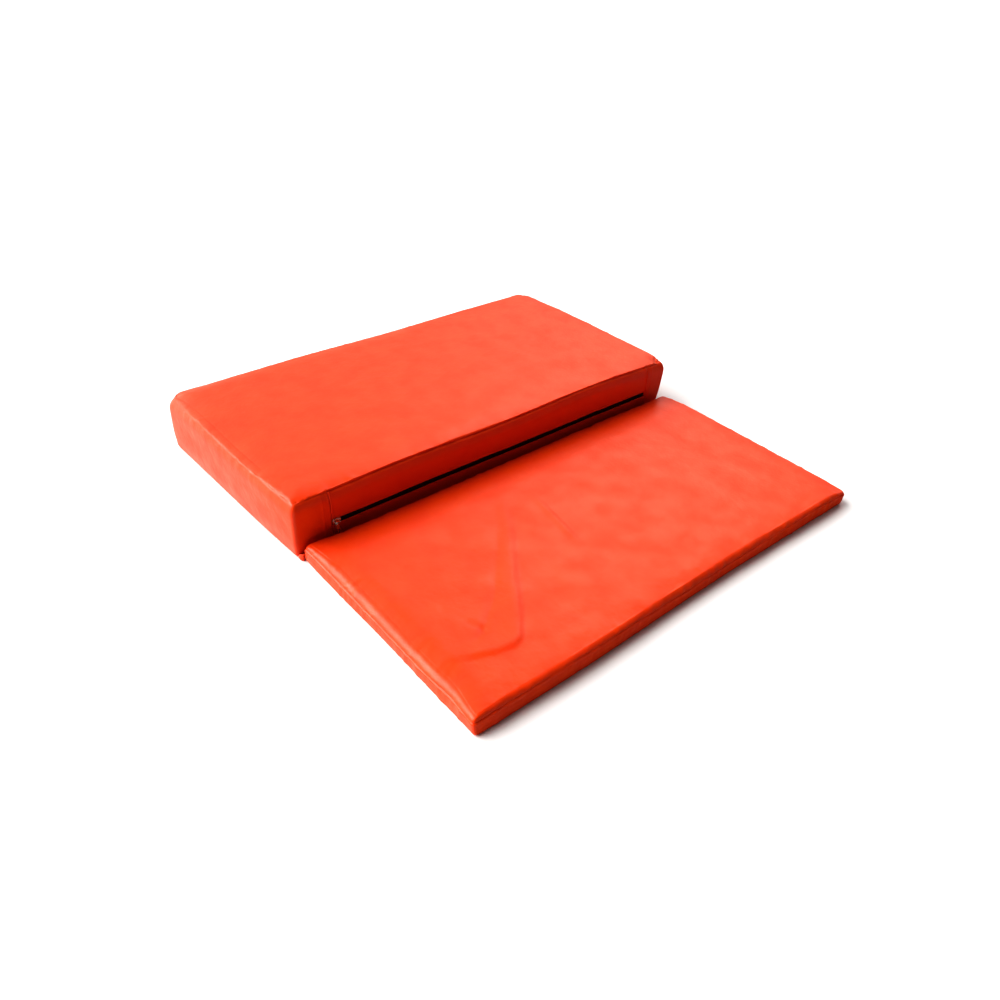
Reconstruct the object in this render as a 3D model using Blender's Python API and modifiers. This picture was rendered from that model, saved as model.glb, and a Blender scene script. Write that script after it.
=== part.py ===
"""A foldable seat cushion covered in smooth orange-red leatherette.

A thick filled seat stands behind a thin filled leg pad, which lies unfolded in front
of it. A leather hinge strip joins the lower edges of the two, and the seat's front
carries a zip between two leather strips.

The origin is on the floor below the middle of the whole cushion. +X runs along the zip,
+Y from the leg pad towards the seat's back, and +Z up. Named sizes and tables are in
millimetres, and each mesh is scaled to metres as it is made.
"""

import math
from collections import namedtuple

import bmesh
import bpy
import numpy as np

MM = 0.001

# Driving sizes.
SEAT_WIDTH = 602.0
SEAT_DEPTH = 300.8
SEAT_CORNER = 9.0
PAD_WIDTH = 614.0
PAD_DEPTH = 305.0
PAD_CORNER = 6.0
HINGE_GAP = 5.2
CLEARANCE = 0.3

# The leg pad lies a little further along the zip than the seat does.
SEAT_CENTRE_X = -4.5
PAD_CENTRE_X = 4.2
TOTAL_DEPTH = SEAT_DEPTH + HINGE_GAP + PAD_DEPTH
SEAT_CENTRE_Y = (TOTAL_DEPTH - SEAT_DEPTH) / 2
PAD_CENTRE_Y = (PAD_DEPTH - TOTAL_DEPTH) / 2

# A level is one row of the skin, from the floor to the top panel's edge. inset is how far
# it lies inside the straight wall, height is above the floor, lift is its share of a
# side's lift, and panel is 1 where the strips beside the zip are let into the front.
Level = namedtuple("Level", "name inset height lift panel")
SEAT_LEVELS = [
    Level("flat bottom's edge", 7.0, 0.0, 0.0, 0),
    Level("lower roll", 2.6, 1.8, 0.0, 0),
    Level("under the lower seam", 0.6, 4.8, 0.0, 0),
    Level("lower seam", 1.8, 6.2, 0.0, 0),
    Level("foot of the strips, outside", 0.7, 7.4, 0.0, 0),
    Level("foot of the strips, inside", 0.6, 7.8, 0.0, 1),
    Level("low wall", -0.8, 20.0, 0.1, 1),
    Level("middle of the wall", -1.4, 38.0, 0.3, 1),
    Level("high wall", -0.8, 56.0, 0.6, 1),
    Level("head of the strips, inside", 0.5, 70.4, 1.0, 1),
    Level("head of the strips, outside", 0.6, 70.8, 1.0, 0),
    Level("upper seam", 1.8, 72.2, 1.0, 0),
    Level("over the upper seam", 0.7, 73.6, 1.0, 0),
    Level("shoulder", 2.0, 76.2, 0.8, 0),
    Level("top panel's edge", 5.5, 78.2, 0.6, 0),
]
PAD_LEVELS = [
    Level("flat bottom's edge", 5.0, 0.0, 0.0, 0),
    Level("lower roll", 1.8, 1.4, 0.0, 0),
    Level("under the lower seam", 0.5, 3.2, 0.0, 0),
    Level("lower seam", 1.4, 4.2, 0.0, 0),
    Level("over the lower seam", 0.3, 5.2, 0.1, 0),
    Level("side strip", 0.0, 9.0, 0.6, 0),
    Level("under the upper seam", 0.4, 12.0, 1.0, 0),
    Level("upper seam", 1.8, 13.0, 1.0, 0),
    Level("over the upper seam", 0.3, 14.4, 0.9, 0),
    Level("roll of the top panel", 0.2, 17.6, 0.6, 0),
    Level("shoulder", 2.3, 20.8, 0.3, 0),
    Level("top panel's edge", 5.2, 22.5, 0.15, 0),
]

# How each side strays from its straight line, along it from low to high X or Y. floor and
# seam are outward at the bottom edge and at the upper seam, and lift raises that seam.
Side = namedtuple("Side", "along floor seam lift")
SEAT_SIDES = {
    "left": [
        Side(0.00, -0.5, -0.5, 1.0),
        Side(0.20, 1.3, 2.2, 1.0),
        Side(0.43, 2.2, 2.6, 0.0),
        Side(0.70, 2.6, 1.8, 1.5),
        Side(0.90, 2.2, 2.2, -1.0),
        Side(1.00, 2.0, 2.6, -4.5),
    ],
    "right": [
        Side(0.00, 2.5, 5.5, 0.0),
        Side(0.10, 1.0, 2.5, 1.0),
        Side(0.25, 0.0, 1.0, 1.5),
        Side(0.60, 0.5, 1.0, 1.0),
        Side(1.00, -0.5, -0.5, -2.0),
    ],
    "front": [
        Side(0.00, -0.5, -0.5, 1.0),
        Side(0.20, 0.5, -1.0, 4.5),
        Side(0.33, 0.5, -1.5, 5.0),
        Side(0.46, 0.5, -1.0, 3.5),
        Side(0.60, 0.5, -0.5, 3.0),
        Side(0.75, 0.5, -1.5, 4.5),
        Side(0.91, 0.0, -1.0, 2.0),
        Side(1.00, -0.5, -1.0, 0.0),
    ],
    "back": [
        Side(0.00, 0.5, -0.5, -4.5),
        Side(0.30, 0.5, -1.0, -1.5),
        Side(0.55, 0.5, -2.0, -2.5),
        Side(0.80, 0.5, -1.0, -1.0),
        Side(1.00, -0.5, -0.5, -2.0),
    ],
}
PAD_SIDES = {
    "left": [
        Side(0.00, 1.5, 3.0, 0.0),
        Side(0.06, 1.0, 1.0, 2.5),
        Side(0.13, 1.0, 1.0, 6.5),
        Side(0.23, 0.5, 1.0, 5.5),
        Side(0.38, -1.0, 0.5, 6.0),
        Side(0.55, -1.5, -0.5, 7.5),
        Side(0.75, -1.5, -1.0, 9.0),
        Side(0.93, -1.5, -1.0, 9.0),
        Side(1.00, -1.0, -1.0, 6.0),
    ],
    "right": [
        Side(0.00, 0.5, 0.5, 0.0),
        Side(0.12, 0.5, 0.0, 1.0),
        Side(0.25, 1.5, 1.0, 0.0),
        Side(0.60, 1.0, 0.5, 2.0),
        Side(0.90, -0.5, -1.0, 4.0),
        Side(1.00, -3.0, -3.5, 4.0),
    ],
    "front": [
        Side(0.00, 3.5, 0.0, 1.0),
        Side(0.05, 4.0, 0.5, 5.5),
        Side(0.10, 4.0, 1.0, 3.0),
        Side(0.18, 4.0, 1.5, 3.5),
        Side(0.28, 3.5, 1.0, 2.0),
        Side(0.40, 1.5, -0.5, -2.5),
        Side(0.46, 0.5, -1.0, 2.5),
        Side(0.60, -1.0, -2.0, -2.8),
        Side(0.78, -0.5, -1.5, -1.0),
        Side(0.93, 0.0, -0.5, -1.0),
        Side(1.00, 0.5, 0.0, 3.0),
    ],
    "back": [
        Side(0.00, -0.5, -2.0, 1.0),
        Side(0.25, 0.0, -2.0, 2.0),
        Side(0.50, 0.0, -1.0, 3.5),
        Side(0.80, 0.0, 0.0, 6.0),
        Side(1.00, -1.0, -1.0, 4.0),
    ],
}
SIDE_FADE = 70.0

# The seat isn't quite square: its back lies this far towards low X.
SEAT_SKEW = -6.5

# The top panels rise over their shoulders, and a little more towards the middle.
SEAT_SHOULDER_RISE = 1.4
SEAT_CROWN = 1.6
PAD_SHOULDER_RISE = 1.8
PAD_CROWN = 0.8
SHOULDER_WIDTH = 22.0

# Folds of the slack cover on the leg pad, by rows from one end to the other. x and y are
# measured from the whole cushion's middle, and spread is the fold's half width.
Fold = namedtuple("Fold", "x y rise spread")
PAD_FOLDS = {
    "long fold": [
        Fold(-62.0, -51.0, 0.2, 7.0),
        Fold(-87.0, -102.0, 0.8, 8.0),
        Fold(-131.0, -159.0, 1.0, 9.0),
        Fold(-171.0, -211.0, 1.3, 12.0),
        Fold(-197.0, -245.0, 1.7, 13.0),
    ],
    "cross fold": [
        Fold(-205.0, -254.0, 1.4, 9.0),
        Fold(-228.0, -255.0, 1.2, 9.0),
        Fold(-262.0, -246.0, 0.9, 9.0),
        Fold(-290.0, -230.0, 0.3, 8.0),
    ],
    "dent": [
        Fold(-256.0, -160.0, -0.4, 14.0),
        Fold(-238.0, -203.0, -0.9, 14.0),
        Fold(-229.0, -226.0, -1.2, 9.0),
    ],
    "short fold": [
        Fold(-30.0, -80.0, 0.2, 6.0),
        Fold(-38.0, -122.0, 0.7, 7.0),
        Fold(-46.0, -158.0, 0.6, 7.0),
        Fold(-50.0, -182.0, 0.1, 6.0),
    ],
}

# The seat's front between its two upright seams holds the zip. Each seam leans, so its
# head lies this far from its foot.
SEAM_LEFT = -257.0
SEAM_LEFT_LEAN = -4.4
SEAM_RIGHT = 267.5
SEAM_RIGHT_LEAN = -6.0
SEAM_DIP = 0.9
SEAM_LAP = 3.0
RECESS_DEPTH = 2.1
STRIP_THICKNESS = RECESS_DEPTH - CLEARANCE
STRIP_ROUNDING = 0.6
STRIP_MARGIN = 0.5

# The zip's middle line, by x from the seat's middle and height above the floor.
ZipRow = namedtuple("ZipRow", "along height")
ZIP_LINE = [
    ZipRow(-257.0, 35.0),
    ZipRow(-150.0, 36.2),
    ZipRow(-60.0, 36.6),
    ZipRow(40.0, 36.0),
    ZipRow(154.0, 35.8),
    ZipRow(268.0, 35.0),
]
ZIP_OPENING = 6.8
ZIP_TAPE_DEPTH = 0.9
ZIP_CHAIN_DEPTH = 0.2

# The slider's body, its bail for the pull, and the pull with its eye.
SLIDER_X = -250.0
SLIDER_LENGTH = 11.0
SLIDER_HEIGHT = 8.4
SLIDER_THICKNESS = 2.8
SLIDER_BEVEL = 1.0
BAIL_LENGTH = 6.4
BAIL_REACH = 3.0
BAIL_RADIUS = 0.55
EYE_RADIUS = 1.75
EYE_WIRE = 0.5
PULL_LENGTH = 12.8
PULL_TOP_WIDTH = 3.0
PULL_FOOT_WIDTH = 5.0
PULL_THICKNESS = 1.1
PULL_SLOT_WIDTH = 1.6
PULL_SLOT_LENGTH = 5.5
PULL_LEAN_DEG = 10.0

# The hinge strip's section in the gap, by rows from the seat's wall down to the leg pad's
# lower edge. y is measured from the middle of the gap.
HingeRow = namedtuple("HingeRow", "y z")
HINGE_SECTION = [
    HingeRow(1.45, 9.2),
    HingeRow(1.45, 5.6),
    HingeRow(1.2, 3.2),
    HingeRow(0.2, 1.7),
    HingeRow(-1.4, 1.25),
    HingeRow(-3.0, 1.2),
]
HINGE_THICKNESS = 1.5
HINGE_LEFT = -303.5
HINGE_RIGHT = 293.0

LEATHER_RED = "E8431F"
ZIP_BLACK = "16130F"
METAL_GREY = "B9B4AC"


def linear(hex_colour):
    """Linear red, green, blue and alpha of an sRGB hex colour."""
    channels = [int(hex_colour[i:i + 2], 16) / 255 for i in (0, 2, 4)]
    return [c / 12.92 if c <= 0.04045 else ((c + 0.055) / 1.055) ** 2.4 for c in channels] + [1.0]


def finish_material(name, colour, roughness, metallic):
    """A Principled BSDF with the piece's colour, roughness and metallic value."""
    material = bpy.data.materials.new(name)
    material.use_nodes = True
    shader = material.node_tree.nodes["Principled BSDF"]
    shader.inputs["Base Color"].default_value = linear(colour)
    shader.inputs["Roughness"].default_value = roughness
    shader.inputs["Metallic"].default_value = metallic
    return material


def add_piece(name, mesh, collection, material):
    """An object of a bmesh in millimetres, scaled to metres and shaded smooth."""
    bmesh.ops.scale(mesh, vec=(MM, MM, MM), verts=mesh.verts)
    bmesh.ops.recalc_face_normals(mesh, faces=mesh.faces)
    data = bpy.data.meshes.new(name)
    mesh.to_mesh(data)
    mesh.free()
    data.shade_smooth()
    data.set_sharp_from_angle(angle=math.radians(50))
    data.materials.append(material)
    piece = bpy.data.objects.new(name, data)
    collection.objects.link(piece)
    return piece


def add_cutter(name, mesh, cutters):
    """A hidden object that a Boolean joins to a piece."""
    data = bpy.data.meshes.new(name)
    mesh.to_mesh(data)
    mesh.free()
    cutter = bpy.data.objects.new(name, data)
    cutter.hide_render = True
    cutter.display_type = "WIRE"
    cutters.objects.link(cutter)
    return cutter


def read_table(rows, along, column):
    """A column's value at a place, on a smooth curve through a table's rows."""
    places = [row[0] for row in rows]
    values = [getattr(row, column) for row in rows]
    along = min(max(along, places[0]), places[-1])
    k = min(max(int(np.searchsorted(places, along)) - 1, 0), len(places) - 2)
    span = places[k + 1] - places[k]
    t = (along - places[k]) / span
    slopes = np.gradient(values, places)
    return (
        values[k] * (1 + 2 * t) * (1 - t) ** 2
        + values[k + 1] * t * t * (3 - 2 * t)
        + slopes[k] * span * t * (1 - t) ** 2
        - slopes[k + 1] * span * t * t * (1 - t)
    )


def ease(t):
    """A smooth step from 0 to 1."""
    t = min(max(t, 0.0), 1.0)
    return t * t * (3 - 2 * t)


def spread(start, end, spacing):
    """Evenly spaced places between two ends, both left out."""
    count = max(1, round((end - start) / spacing))
    return [start + (end - start) * k / count for k in range(1, count)]


def cut_block(x_range, y_range, z_range, x_cuts, y_cuts, z_cuts):
    """A cube stretched to a box and cut by planes across each axis."""
    mesh = bmesh.new()
    bmesh.ops.create_cube(mesh, size=1.0)
    for vertex in mesh.verts:
        for axis, limits in enumerate((x_range, y_range, z_range)):
            vertex.co[axis] = limits[0] if vertex.co[axis] < 0 else limits[1]
    for axis, cuts in enumerate((x_cuts, y_cuts, z_cuts)):
        normal = [0.0, 0.0, 0.0]
        normal[axis] = 1.0
        for cut in cuts:
            point = [0.0, 0.0, 0.0]
            point[axis] = cut
            everything = mesh.verts[:] + mesh.edges[:] + mesh.faces[:]
            bmesh.ops.bisect_plane(
                mesh, geom=everything, dist=1e-5, plane_co=point, plane_no=normal
            )
    return mesh


class SewnBlock:
    """A filled cushion, whose skin is a block bent by tables of its levels and sides.

    x and y in its own functions are places on the flat block, from its middle, and level
    counts the rows of its level table.
    """

    def __init__(self, centre, size, corner, levels, sides, skew, shoulder_rise, crown):
        self.centre = centre
        self.half = (size[0] / 2, size[1] / 2)
        self.corner = corner
        self.levels = levels
        self.sides = sides
        self.skew = skew
        self.shoulder_rise = shoulder_rise
        self.crown = crown

    def level_value(self, level, column):
        """A level column's value at a whole or in-between level."""
        low = min(int(level), len(self.levels) - 2)
        share = level - low
        a = getattr(self.levels[low], column)
        b = getattr(self.levels[low + 1], column)
        return a + (b - a) * share

    def side_pull(self, x, y):
        """Each side's place along it and its hold on a point of the block."""
        half_x, half_y = self.half
        along_x = (x + half_x) / (2 * half_x)
        along_y = (y + half_y) / (2 * half_y)
        return {
            "left": (along_y, 1 - ease((x + half_x) / SIDE_FADE)),
            "right": (along_y, 1 - ease((half_x - x) / SIDE_FADE)),
            "front": (along_x, 1 - ease((y + half_y) / SIDE_FADE)),
            "back": (along_x, 1 - ease((half_y - y) / SIDE_FADE)),
        }

    def stray(self, x, y, height):
        """How far the tables of the sides move a point, out in x and y, and their lift."""
        rise = min(height / self.level_value(len(self.levels) - 4, "height"), 1.0)
        out = {}
        lift = 0.0
        hold_sum = 0.0
        for side, (along, hold) in self.side_pull(x, y).items():
            rows = self.sides[side]
            low = read_table(rows, along, "floor")
            high = read_table(rows, along, "seam")
            out[side] = hold * (low + (high - low) * rise)
            lift += hold * read_table(rows, along, "lift")
            hold_sum += hold
        return out["right"] - out["left"], out["back"] - out["front"], lift / max(hold_sum, 1.0)

    def rounded(self, x, y, inset):
        """A point of the block with its upright corners rounded and its rim drawn in."""
        half_x, half_y = self.half
        core_x = min(max(x, self.corner - half_x), half_x - self.corner)
        core_y = min(max(y, self.corner - half_y), half_y - self.corner)
        dx = x - core_x
        dy = y - core_y
        length = math.hypot(dx, dy)
        if length < 1e-9:
            return x, y
        radius = max(abs(dx), abs(dy)) / self.corner * (self.corner - inset)
        return core_x + dx / length * radius, core_y + dy / length * radius

    def top_rise(self, x, y):
        """How far the top panel stands above its own edge."""
        half_x, half_y = self.half
        near_x = min((half_x - abs(x)) / SHOULDER_WIDTH, 1.0)
        near_y = min((half_y - abs(y)) / SHOULDER_WIDTH, 1.0)
        shoulder = (1 - (1 - near_x) ** 2) * (1 - (1 - near_y) ** 2)
        crown = (1 - (x / half_x) ** 2) * (1 - (y / half_y) ** 2)
        return self.shoulder_rise * shoulder + self.crown * crown

    def point(self, x, y, level, sink=0.0):
        """The skin's point, in millimetres of the whole cushion. sink draws it in."""
        inset = self.level_value(level, "inset") + sink
        height = self.level_value(level, "height")
        plan_x, plan_y = self.rounded(x, y, inset)
        out_x, out_y, lift = self.stray(x, y, height)
        height += lift * self.level_value(level, "lift")
        if level >= len(self.levels) - 1:
            height += self.top_rise(x, y)
        back_share = (y + self.half[1]) / (2 * self.half[1])
        px = self.centre[0] + plan_x + out_x + self.skew * back_share
        py = self.centre[1] + plan_y + out_y
        return px, py, height

    def level_at(self, x, y, height):
        """The level at which the wall reaches a height."""
        indices = range(len(self.levels))
        heights = [self.point(x, y, k)[2] for k in indices]
        return float(np.interp(height, heights, indices))


def block_cuts(half, corner, spacing):
    """Cuts along one axis of a block: close over the corners and shoulders, then even."""
    core = half - corner
    fine = [core + corner * math.tan(math.radians(angle)) for angle in (0, 15, 30)]
    fine.append(half - SHOULDER_WIDTH)
    inner = half - SHOULDER_WIDTH
    return sorted([-c for c in fine] + fine + spread(-inner, inner, spacing))


SEAT = SewnBlock(
    (SEAT_CENTRE_X, SEAT_CENTRE_Y), (SEAT_WIDTH, SEAT_DEPTH), SEAT_CORNER,
    SEAT_LEVELS, SEAT_SIDES, SEAT_SKEW, SEAT_SHOULDER_RISE, SEAT_CROWN,
)
PAD = SewnBlock(
    (PAD_CENTRE_X, PAD_CENTRE_Y), (PAD_WIDTH, PAD_DEPTH), PAD_CORNER,
    PAD_LEVELS, PAD_SIDES, 0.0, PAD_SHOULDER_RISE, PAD_CROWN,
)
SEAT_FRONT_Y = -SEAT_DEPTH / 2


def seam_lean(x, height):
    """How far the leaning upright seams carry a point of the seat's front along x."""
    share = 0.5 - height / SEAT_LEVELS[-1].height
    shift = 0.0
    for seam, lean in ((SEAM_LEFT, SEAM_LEFT_LEAN), (SEAM_RIGHT, SEAM_RIGHT_LEAN)):
        shift -= lean * share * (1 - ease(abs(x - seam) / 34.0))
    return shift


def front_point(x, height, depth):
    """A point a given depth behind the skin of the seat's front."""
    level = SEAT.level_at(x, SEAT_FRONT_Y, height)
    px, py, pz = SEAT.point(x, SEAT_FRONT_Y, level)
    return px + seam_lean(x, pz), py + depth, height


def zip_height(x):
    """Height of the zip's middle line."""
    return read_table(ZIP_LINE, x, "height")


def strip_columns():
    """Places along the front that the seat, the strips and the tape all share."""
    return spread(SEAM_LEFT + 12.0, SEAM_RIGHT - 12.0, 26.0)


def make_seat(collection):
    """The filled seat: crown, drawn-in sides, sewn edges, and a recess for the zip."""
    half_x, half_y = SEAT.half
    edge = [c for c in block_cuts(half_x, SEAT_CORNER, 400.0) if abs(c) > 270.0]
    seams = []
    for seam, inward in ((SEAM_LEFT, 1), (SEAM_RIGHT, -1)):
        seams += [seam - inward * SEAM_LAP, seam, seam + inward * 0.4, seam + inward * 12.0]
    x_cuts = sorted(edge + seams + strip_columns())
    y_cuts = block_cuts(half_y, SEAT_CORNER, 30.0)
    top = len(SEAT_LEVELS) - 1
    mesh = cut_block(
        (-half_x, half_x), (-half_y, half_y), (0, top), x_cuts, y_cuts, range(1, top)
    )
    for vertex in mesh.verts:
        x, y, level = vertex.co
        level = round(level)
        on_front = y < -half_y + 1e-3
        sink = 0.0
        if on_front and SEAT_LEVELS[level].panel:
            if min(abs(x - SEAM_LEFT), abs(x - SEAM_RIGHT)) < 0.1:
                sink = SEAM_DIP
            elif SEAM_LEFT < x < SEAM_RIGHT:
                sink = RECESS_DEPTH
        px, py, pz = SEAT.point(x, y, level, sink)
        if on_front:
            px += seam_lean(x, pz)
        vertex.co = px, py, pz
    material = finish_material("seat_leatherette", LEATHER_RED, 0.42, 0.0)
    return add_piece("seat_cushion", mesh, collection, material)


def fold_rise(x, y):
    """How far the folds raise or lower the leg pad's cover."""
    total = 0.0
    for rows in PAD_FOLDS.values():
        best = 0.0
        for a, b in zip(rows, rows[1:]):
            run_x, run_y = b.x - a.x, b.y - a.y
            t = ((x - a.x) * run_x + (y - a.y) * run_y) / (run_x ** 2 + run_y ** 2)
            t = min(max(t, 0.0), 1.0)
            gap = math.hypot(x - a.x - t * run_x, y - a.y - t * run_y)
            reach = a.spread + (b.spread - a.spread) * t
            rise = (a.rise + (b.rise - a.rise) * t) * math.exp(-(gap / reach) ** 2 * 1.6)
            if abs(rise) > abs(best):
                best = rise
        total += best
    return total


def make_pad(collection):
    """The filled leg pad: thin, with a narrow side strip and a slack, folded cover."""
    half_x, half_y = PAD.half
    x_cuts = block_cuts(half_x, PAD_CORNER, 19.0)
    y_cuts = block_cuts(half_y, PAD_CORNER, 17.0)
    top = len(PAD_LEVELS) - 1
    mesh = cut_block(
        (-half_x, half_x), (-half_y, half_y), (0, top), x_cuts, y_cuts, range(1, top)
    )
    near_folds = []
    for edge in mesh.edges:
        a, b = (vertex.co for vertex in edge.verts)
        middle = (a + b) / 2
        inside = abs(middle.x) < half_x - PAD_CORNER and abs(middle.y) < half_y - PAD_CORNER
        if min(a.z, b.z) < top - 1e-3 or not inside:
            continue
        if abs(fold_rise(middle.x + PAD_CENTRE_X, middle.y + PAD_CENTRE_Y)) > 0.12:
            near_folds.append(edge)
    bmesh.ops.subdivide_edges(mesh, edges=near_folds, cuts=1, use_grid_fill=True)
    for vertex in mesh.verts:
        x, y, level = vertex.co
        px, py, pz = PAD.point(x, y, round(level))
        if level > top - 1e-3:
            pz += fold_rise(px, py)
        vertex.co = px, py, pz
    material = finish_material("pad_leatherette", LEATHER_RED, 0.38, 0.0)
    return add_piece("leg_pad", mesh, collection, material)


def make_hinge(collection):
    """The leather strip that the seat and the leg pad fold about."""
    middle_y = SEAT_CENTRE_Y - SEAT_DEPTH / 2 - HINGE_GAP / 2
    mesh = bmesh.new()
    rows = len(HINGE_SECTION)
    bmesh.ops.create_grid(mesh, x_segments=24, y_segments=rows - 1, size=0.5)
    for vertex in mesh.verts:
        row = HINGE_SECTION[round((0.5 - vertex.co.y) * (rows - 1))]
        along = HINGE_LEFT + (HINGE_RIGHT - HINGE_LEFT) * (vertex.co.x + 0.5)
        vertex.co = along, middle_y + row.y, row.z
    piece = add_piece(
        "hinge_strip", mesh, collection, finish_material("hinge_leatherette", LEATHER_RED, 0.42, 0.0)
    )
    solid = piece.modifiers.new("Thickness", "SOLIDIFY")
    solid.thickness = HINGE_THICKNESS * MM
    solid.offset = 0.0
    solid.use_even_offset = True
    return piece


def make_strip(name, low_edge, high_edge, collection):
    """A strip of leatherette beside the zip, with rounded edges. Its edges are functions."""
    left = SEAM_LEFT + 0.4 + STRIP_MARGIN
    right = SEAM_RIGHT - 0.4 - STRIP_MARGIN
    x_cuts = [left + 1.2, SEAM_LEFT + 12.0] + strip_columns() + [SEAM_RIGHT - 12.0, right - 1.2]
    edge_share = 0.06
    v_cuts = [edge_share, 0.33, 0.66, 1 - edge_share]
    mesh = cut_block((left, right), (0, 1), (0, 1), x_cuts, [], v_cuts)
    for vertex in mesh.verts:
        x, layer, v = vertex.co
        low = low_edge(x)
        height = low + (high_edge(x) - low) * v
        at_rim = v < 1e-3 or v > 1 - 1e-3 or x < left + 1e-3 or x > right - 1e-3
        depth = STRIP_THICKNESS if layer > 0.5 else (STRIP_ROUNDING if at_rim else 0.0)
        vertex.co = front_point(x, height, depth)
    material = finish_material(name + "_leatherette", LEATHER_RED, 0.42, 0.0)
    return add_piece(name, mesh, collection, material)


def panel_edge(x, row_name, margin):
    """Height of one edge of the recess, moved by a margin."""
    level = [row.name for row in SEAT_LEVELS].index(row_name)
    return SEAT.point(x, SEAT_FRONT_Y, level)[2] + margin


def make_tape(collection):
    """The zip's black tape with its closed chain, in the opening between the strips."""
    left = SEAM_LEFT + 0.4 + STRIP_MARGIN
    right = SEAM_RIGHT - 0.4 - STRIP_MARGIN
    x_cuts = [SEAM_LEFT + 12.0] + strip_columns() + [SEAM_RIGHT - 12.0]
    chain = (0.16, 0.26, 0.74, 0.84)
    mesh = cut_block((left, right), (0, 1), (0, 1), x_cuts, [], chain)
    half_height = ZIP_OPENING / 2 - CLEARANCE
    for vertex in mesh.verts:
        x, layer, v = vertex.co
        height = zip_height(x) + (2 * v - 1) * half_height
        on_chain = chain[1] - 1e-3 < v < chain[2] + 1e-3
        depth = STRIP_THICKNESS if layer > 0.5 else (ZIP_CHAIN_DEPTH if on_chain else ZIP_TAPE_DEPTH)
        vertex.co = front_point(x, height, depth)
    return add_piece("zip_tape", mesh, collection, finish_material("zip_fabric", ZIP_BLACK, 0.7, 0.0))


def join(piece, other):
    """Joins a hidden object to a piece with a Boolean."""
    union = piece.modifiers.new("Join " + other.name, "BOOLEAN")
    union.operation = "UNION"
    union.object = other


def wire_mesh(name, points, radius, cyclic=False):
    """A round wire along some points, as a closed bmesh in millimetres."""
    curve = bpy.data.curves.new(name, "CURVE")
    curve.dimensions = "3D"
    curve.bevel_depth = radius
    curve.bevel_resolution = 2
    curve.use_fill_caps = not cyclic
    spline = curve.splines.new("POLY")
    spline.points.add(len(points) - 1)
    for target, point in zip(spline.points, points):
        target.co = (*point, 1.0)
    spline.use_cyclic_u = cyclic
    holder = bpy.data.objects.new(name, curve)
    bpy.context.scene.collection.objects.link(holder)
    data = bpy.data.meshes.new_from_object(holder.evaluated_get(bpy.context.evaluated_depsgraph_get()))
    mesh = bmesh.new()
    mesh.from_mesh(data)
    bmesh.ops.remove_doubles(mesh, verts=mesh.verts, dist=1e-3)
    bpy.data.objects.remove(holder)
    bpy.data.meshes.remove(data)
    return mesh


def slider_place():
    """The middle of the slider's back, just proud of the strips."""
    x, y, z = front_point(SLIDER_X, zip_height(SLIDER_X), 0.0)
    return x, y - CLEARANCE - 0.2, z


def make_slider(collection, cutters):
    """The zip's slider: a rounded body that narrows to its tail, with a bail."""
    x, y, z = slider_place()
    mesh = bmesh.new()
    bmesh.ops.create_cube(mesh, size=1.0)
    for vertex in mesh.verts:
        narrow = 0.62 if vertex.co.x > 0 else 1.0
        vertex.co.x = x + vertex.co.x * SLIDER_LENGTH
        vertex.co.z = z + vertex.co.z * SLIDER_HEIGHT * narrow
        vertex.co.y = y - SLIDER_THICKNESS / 2 + vertex.co.y * SLIDER_THICKNESS
    bmesh.ops.bevel(
        mesh, geom=mesh.edges[:], offset=SLIDER_BEVEL, offset_type="OFFSET", segments=2,
        profile=0.5, affect="EDGES",
    )
    piece = add_piece(
        "zip_slider", mesh, collection, finish_material("slider_metal", METAL_GREY, 0.3, 1.0)
    )
    face_y = y - SLIDER_THICKNESS
    arc = []
    for k in range(13):
        angle = math.pi * k / 12
        side = math.copysign(abs(math.cos(angle)) ** 0.5, math.cos(angle))
        out = math.sin(angle) ** 0.5
        arc.append((x + side * BAIL_LENGTH / 2, face_y + 1.0 - out * (BAIL_REACH + 1.0), z))
    bail = wire_mesh("bail", arc, BAIL_RADIUS)
    bmesh.ops.scale(bail, vec=(MM, MM, MM), verts=bail.verts)
    join(piece, add_cutter("bail", bail, cutters))
    return piece


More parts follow.
